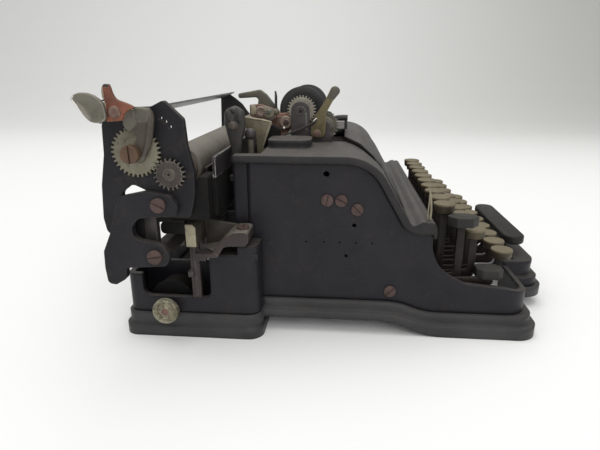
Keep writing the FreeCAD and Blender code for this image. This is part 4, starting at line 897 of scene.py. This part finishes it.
arm = Piece("standing_arm")
arm.slab(SLATE, -99, -94, [
    (67.2, 100.5), (66.8, 118, 4), (65.8, 128, 5), (63.6, 136, 4), (64, 146, 4.5), (70, 149.6, 4),
    (76.4, 147, 4.5), (77.6, 139, 4), (75.4, 130, 4), (73.4, 122, 4), (73.2, 100.5),
], 1.6, 5, 10)
for centre, radii in (
    ((-97.6, 74.2, 142.6), (2.6, 3.1, 4.6)),
    ((-97.6, 67.2, 142.2), (2.6, 3.2, 4.8)),
    ((-98, 70.9, 146.2), (2.2, 2.4, 2.2)),
):
    arm.add(ball(centre, radii), SLATE)
arm.add(plate("Z", 100, 104, block(-99, -94, 66, 75.2, 1), 0.4), SLATE)
cap = [(-98.6, 2.9), (-99.8, 2.7), (-100.7, 2.1), (-101, 1.1), (-101, 0)]
arm.turned(STRAP_BROWN, (71.6, 136.6), cap, 28)
arm.finish("frame", "dark_steel")


# Paper table

table = Piece("paper_table_sheets")
for loop, material in (
    ([(-130, 109), (-130, 121.8, 3), (130, 121.8, 3), (130, 109)], BRIGHT_EDGE),
    ([(-130, 84, 4), (-130, 109.2), (130, 109.2), (130, 84, 4)], BLACK_STEEL),
):
    table.add(plate("Y", 76.1, 78, loop, 0.35, 2, 8), material)
trough = []
for radius, angles in ((15.5, range(180, 351, 10)), (14, range(350, 179, -10))):
    for angle in angles:
        turn = math.radians(angle)
        trough.append((PLATEN[0] + radius * math.cos(turn), PLATEN[1] + radius * math.sin(turn)))
table.slab(DARK_STEEL, -126, 126, trough, 0.3)
for low in (-143, 126):
    table.slab(BLACK_STEEL, low, low + 17, [
        (77.8, 86, 0.6), (77.8, 112, 2), (83.4, 112, 1), (85.4, 105.6, 2), (89.4, 101.8, 2),
        (97.8, 100.1, 1), (100.8, 100.4, 0.6), (100.8, 86, 0.6),
    ], 0.5, 3)
table.add(soft_rod("X", (97, 90.6), -143, 143, 1.45, 0.3, 20), STRAP_BROWN)
table.finish("carriage", "dark_steel", ["paper_table"])


# Carriage bars

bars = Piece("carriage_cross_bars")
bars.add(plate("Z", 60, 70, block(-147, 147, 106, 113), 0.6, 3), DARK_STEEL)
bars.add(plate("Z", 88, 93, block(-143, 143, 101, 109), 0.6, 3), DARK_STEEL)
rack = [(-105, 107), (105, 107)]
for step in range(70):
    end = 105 - 3 * step
    rack += [(end, 112), (end - 1, 110.6), (end - 2, 110.6), (end - 3, 112)]
bars.add(plate("Z", 55, 60, rack, 0.12, 1), STRAP_BROWN)
for low in (-68, 52):
    bars.add(plate("Z", 83.4, 88, block(low, low + 16, 98, 112, 2), 0.6, 3), STRAP_BROWN)
for sign in SIDES.values():
    low, high = sided(sign, 137, 143)
    bars.slab(STAND_BROWN, low, high, upright_block(110.8, 118, 70, 94), 0.8, 3)
    bars.slab(BLACK_STEEL, low, high, upright_block(118, 126.5, 70, 94), 0.6, 3)
    bars.slab(BLACK_STEEL, low, high, [
        (94, 83.9, 0.5), (94, 85.8, 0.5), (101, 85.8, 0.5), (101, 94, 0.5), (110.7, 94, 0.5),
        (110.7, 83.9, 0.5),
    ], 0.4)
bars.finish("carriage", "dark_steel", ["carriage_bars"])


# Carriage rails on their saddles and posts

rails = Piece("carriage_rails")
section = [(88.4, 67, 0.6), (88.4, 79.2, 0.8), (90.4, 81.4, 0.8), (94.8, 81.4, 0.5), (94.8, 67, 0.6)]
rails.slab(RAIL_DARK, -138.4, 138.4, section, 0.3)
for sign in SIDES.values():
    rails.slab(CREAM_BRASS, *sided(sign, 136.8, 139), section, 0.5, 3)
    rails.slab(BLACK_STEEL, *sided(sign, 134.5, 139), [
        (94.6, 75.2, 0.5), (94.6, 83, 1), (110, 83, 3), (110, 75.2, 3),
    ], 0.6, 3)
rails.add(soft_rod("X", (106, 79), -135, 135, 4, 0.5), DARK_STEEL)
for low in (-125, -3, 119):
    clamp = [(94, 76), (94, 82, 0.8), (103, 82, 0.8), (103, 76)]
    rails.slab(DARK_STEEL, low, low + 6, clamp, 0.5)
for sign in SIDES.values():
    low, high = sided(sign, 124, 128)
    rails.slab(RUSTY_POST, low, high, upright_block(90.5, 96.5, 27.5, 67.5), 0.6, 3)
    bead = [
        (sign * 128, 93.2, 66), (sign * 128.3, 93, 56), (sign * 128.2, 93.3, 46),
        (sign * 128.2, 93.1, 36), (sign * 127.8, 93.2, 29),
    ]
    rails.add(tube(bead, [0.5, 0.8, 0.7, 0.8, 0.5], 10), STAND_BROWN)
    low, high = sided(sign, 113, 133)
    saddle = plate("X", low, high, [
        (57, 66, 4), (57, 75.5, 3), (66, 75.2, 5), (71, 72.6, 4), (80, 62.6, 3), (91, 60.6, 1),
        (91, 67.5, 0.3), (94, 67.5, 0.3), (94, 57, 2), (84.1, 57, 0.5), (84.1, 58), (77.2, 58, 1),
        (73.4, 65, 4), (69, 66, 3),
    ], 1.3, 4, 8)
    # The outer corner of its plan is cut off
    corner = Vector((sign * 134, 79, 0))
    cut = (Vector((sign * 118, 90.8, 0)) - corner).normalized()
    outward = Vector((cut.y, -cut.x, 0)) * sign
    bmesh.ops.bisect_plane(
        saddle, geom=[*saddle.verts, *saddle.edges, *saddle.faces], plane_co=corner,
        plane_no=outward, clear_outer=True,
    )
    bmesh.ops.holes_fill(saddle, edges=[edge for edge in saddle.edges if edge.is_boundary])
    bmesh.ops.recalc_face_normals(saddle, faces=saddle.faces)
    rails.add(saddle, SADDLE_RUST)
    low, high = sided(sign, 113, 115.5)
    rails.slab(RAIL_DARK, low, high, [
        (66, 59, 0.5), (66, 75, 2), (80, 77, 3), (88.6, 78.4, 0.5), (88.6, 59, 0.5),
    ], 0.5, 3)
    low, high = sided(sign, 124, 134)
    rails.slab(RUSTY_POST, low, high, [
        (77.6, 58.2, 0.5), (77.6, 60.6, 0.8), (92, 60.6, 0.5), (92, 55.8, 0.5), (84.4, 55.8, 0.5),
        (84.4, 58.2, 0.3),
    ], 0.6, 3)
    low, high = sided(sign, 125, 131)
    nub = [(94, 43.4, 0.8), (94, 47.6, 1), (97.8, 47, 1), (97.8, 42.8, 0.8)]
    rails.slab(STAND_BROWN, low, high, nub, 0.8, 3)
rails.finish("frame", "bright_steel", ["guide_rails"])


# Fasteners

DRUM_KNOB = (113.3, 20)
SCREWS = [(9.2, 91.6), (0.1, 91.5), (-10.2, 85.8), (-33.8, 29.5)]
TURNS = {"left": (100, 28, 45, -45), "right": (15, -40, 70, 30)}

for side, sign in SIDES.items():
    screws = Piece("case_screw_heads_" + side)
    for (y, z), angle in zip(SCREWS, TURNS[side]):
        parts = slotted_head("X", (y, z), sign * 110.8, sign * 112.8, 3.9, angle, 0.8)
        screws.add(parts, SCREW_RUST)
    parts = slotted_head("Z", (sign * 124, 62), 75.3, 77.1, 4, 20)
    screws.add(parts, SCREW_RUST)
    if side == "left":
        screws.add(soft_rod("X", DRUM_KNOB, -134, -103, 3, 0.3, 24), SCREW_RUST)
        screws.turned(CORRODED, DRUM_KNOB, [
            (-132.2, 0), (-132.2, 8), (-132.8, 8.7), (-135.4, 8.7), (-136.2, 8.3), (-136.4, 7.6),
            (-136.1, 7), (-135.6, 6.7), (-135.4, 4.6), (-135.6, 3.6), (-136, 3.1),
        ], 56)
        core = [(-135.6, 3.1), (-136.2, 2.6), (-136.4, 1.6), (-136.4, 0)]
        screws.turned(PINK_RUST, DRUM_KNOB, core, 28)
    screws.finish("frame", "rusty_screw", ["case_screws"] if side == "left" else [])

pin = Piece("ball_pin")
pin.add(lathe("Z", (-95, 60.8), [
    (104, 0), (104, 2.9), (105, 2.8), (107, 2.5), (118, 2.1), (124, 2), (127.5, 2.2), (129, 0),
], 24), TAUPE)
pin.add(ball((-95, 60.8, 131), (3.9, 3.9, 3.9)), SLATE)
pin.finish("frame", "dark_steel")

catch = Piece("shield_catch")
bar_path = [(-30, -3, 136.3), (-30, 0, 136.3), (-30, 4, 136.2), (-30, 7.7, 136)]
catch.add(tube(bar_path, [2.3, 2.4, 2.3, 1.9]), SLATE)
foot = [(-2.8, 128), (-2.8, 135.4, 0.8), (-0.6, 135.4, 0.8), (-0.6, 128)]
catch.slab(SLATE, -31.5, -28.5, foot, 0.3)
catch.finish("frame", "dark_steel")

post = Piece("rim_post")
for path, radii, sides in (
    ([
        (-108.6, -57, 79.6), (-108.5, -57.2, 86), (-108.4, -56.6, 93), (-108.4, -55.4, 98.6),
        (-108.4, -54.6, 100.4),
    ], [0.75, 0.7, 0.7, 0.65, 0.5], 12),
    ([
        (-108.4, -55.2, 79.6), (-108.4, -55.4, 85), (-108.4, -55.6, 91), (-108.4, -55.6, 96),
    ], [0.5, 0.5, 0.45, 0.4], 10),
):
    post.add(tube(path, radii, sides), CREAM_BRASS)
post.finish("frame", "bright_steel")

HOOK_SCREWS = [(104.8, 96.9), (109.7, 65.1)]
bolts = Piece("bracket_screws")
for sign in SIDES.values():
    for (y, z), angle in zip(HOOK_SCREWS, (24, -9) if sign < 0 else (40, -20)):
        bolts.add(slotted_head("X", (y, z), sign * 151.8, sign * 154, 4.4, angle, 0.8), SCREW_RUST)
bolts.add(soft_rod("X", LARGE, -155.5, -141.5, 2.5, 0.3, 24), AMBER_SCREW)
bolts.add(slotted_head("X", LARGE, -154.7, -159.5, 5.1, 88, 0.9, 1.6), AMBER_SCREW)
bolts.finish("carriage", "rusty_screw", ["carriage_screws"])


# Studio

# The floor's pale colour, and the painted shade that greys it towards the far right and up the wall
PALE_FLOOR = (0.89, 0.893, 0.89)
FLOOR_PAINTED_SHADE = (0.58, 0.58, 0.562)
WALL_PAINTED_SHADE = (0.885, 0.89, 0.885)
WALL_START = 1.1
WALL_CURVE = 0.9


def sweep_material():
    """Pale floor with painted shade, greyer towards the far right and up the wall."""
    shade = Shader("sweep")
    spot = shade.split("Position")

    def ramp(axis, low, high):
        return shade.span(spot[axis], low, high, interpolation_type="SMOOTHSTEP")

    # Painted shade: greyer in the far right corner and darker up the wall
    corner = shade.math("MULTIPLY", ramp("Y", 0.5, -1.4), ramp("X", 0.1, 1.5))
    sweep_with_painted_shade = shade.mix(corner, PALE_FLOOR, FLOOR_PAINTED_SHADE)
    sweep_with_painted_shade = shade.mix(ramp("X", 0.5, 1.6), sweep_with_painted_shade, WALL_PAINTED_SHADE, blend_type="MULTIPLY")
    return shade.finish("ShaderNodeBsdfDiffuse", Color=sweep_with_painted_shade)


def ground():
    """A pale sweep: floor, a wide curve and a wall."""
    mesh = bmesh.new()
    profile = [(-2.5, 0.0), (WALL_START, 0.0)]
    for angle in (0.2, 0.4, 0.6, 0.8, 1.0, 1.2, 1.4, 1.5708):
        reach = WALL_CURVE * math.sin(angle)
        profile.append((WALL_START + reach, WALL_CURVE - WALL_CURVE * math.cos(angle)))
    profile.append((2.0, 4.0))
    rows = [[mesh.verts.new((x, y, z)) for x, z in profile] for y in (-4.0, 4.0)]
    for index in range(len(profile) - 1):
        mesh.faces.new((rows[0][index], rows[0][index + 1], rows[1][index + 1], rows[1][index]))
    bmesh.ops.recalc_face_normals(mesh, faces=mesh.faces)
    made = show("sweep", smooth_data("sweep", mesh))
    made.data.materials.append(sweep_material())


def aimed(made, direction):
    """Turn a lamp or a camera to look along a direction."""
    made.rotation_euler = direction.to_track_quat("-Z", "Y").to_euler()


def lamp(name, spot, target, width, height, power, color):
    """A soft panel light."""
    data = bpy.data.lights.new(name, "AREA")
    data.shape = "RECTANGLE"
    data.size = width
    data.size_y = height
    data.energy = power
    data.color = color
    made = show(name, data)
    made.location = spot
    aimed(made, Vector(target) - Vector(spot))


ground()
# Place, target, width and height in metres, watts, colour
lamp("overhead", (0.1, 0.1, 1.9), (0, 0, 0), 2.2, 2.2, 26, (1.0, 0.99, 0.97))
lamp("camera_side", (-1.5, -0.5, 1.1), (0, 0, 0.08), 1.2, 1.0, 9, (0.99, 0.99, 1.0))

scene = bpy.context.scene
world = bpy.data.worlds.new("studio")
scene.world = world
world.use_nodes = True
background = world.node_tree.nodes["Background"]
background.inputs["Color"].default_value = (0.98, 0.975, 0.965, 1)
background.inputs["Strength"].default_value = 0.55

# The photograph's camera, from the fit of its perspective
EYE = (-0.413, BACK * MM, 0.170)
PITCH = math.radians(17.5086)
YAW = math.radians(5.0566)

camera = bpy.data.cameras.new("photo_view")
camera.sensor_width = 36.0
camera.sensor_fit = "HORIZONTAL"
camera.lens = 29.1
camera.clip_start = 0.01
viewer = show("photo_view", camera)
viewer.location = EYE
level = math.cos(PITCH)
aimed(viewer, Vector((level * math.cos(YAW), level * math.sin(YAW), -math.sin(PITCH))))
scene.camera = viewer
scene.view_settings.view_transform = "Standard"
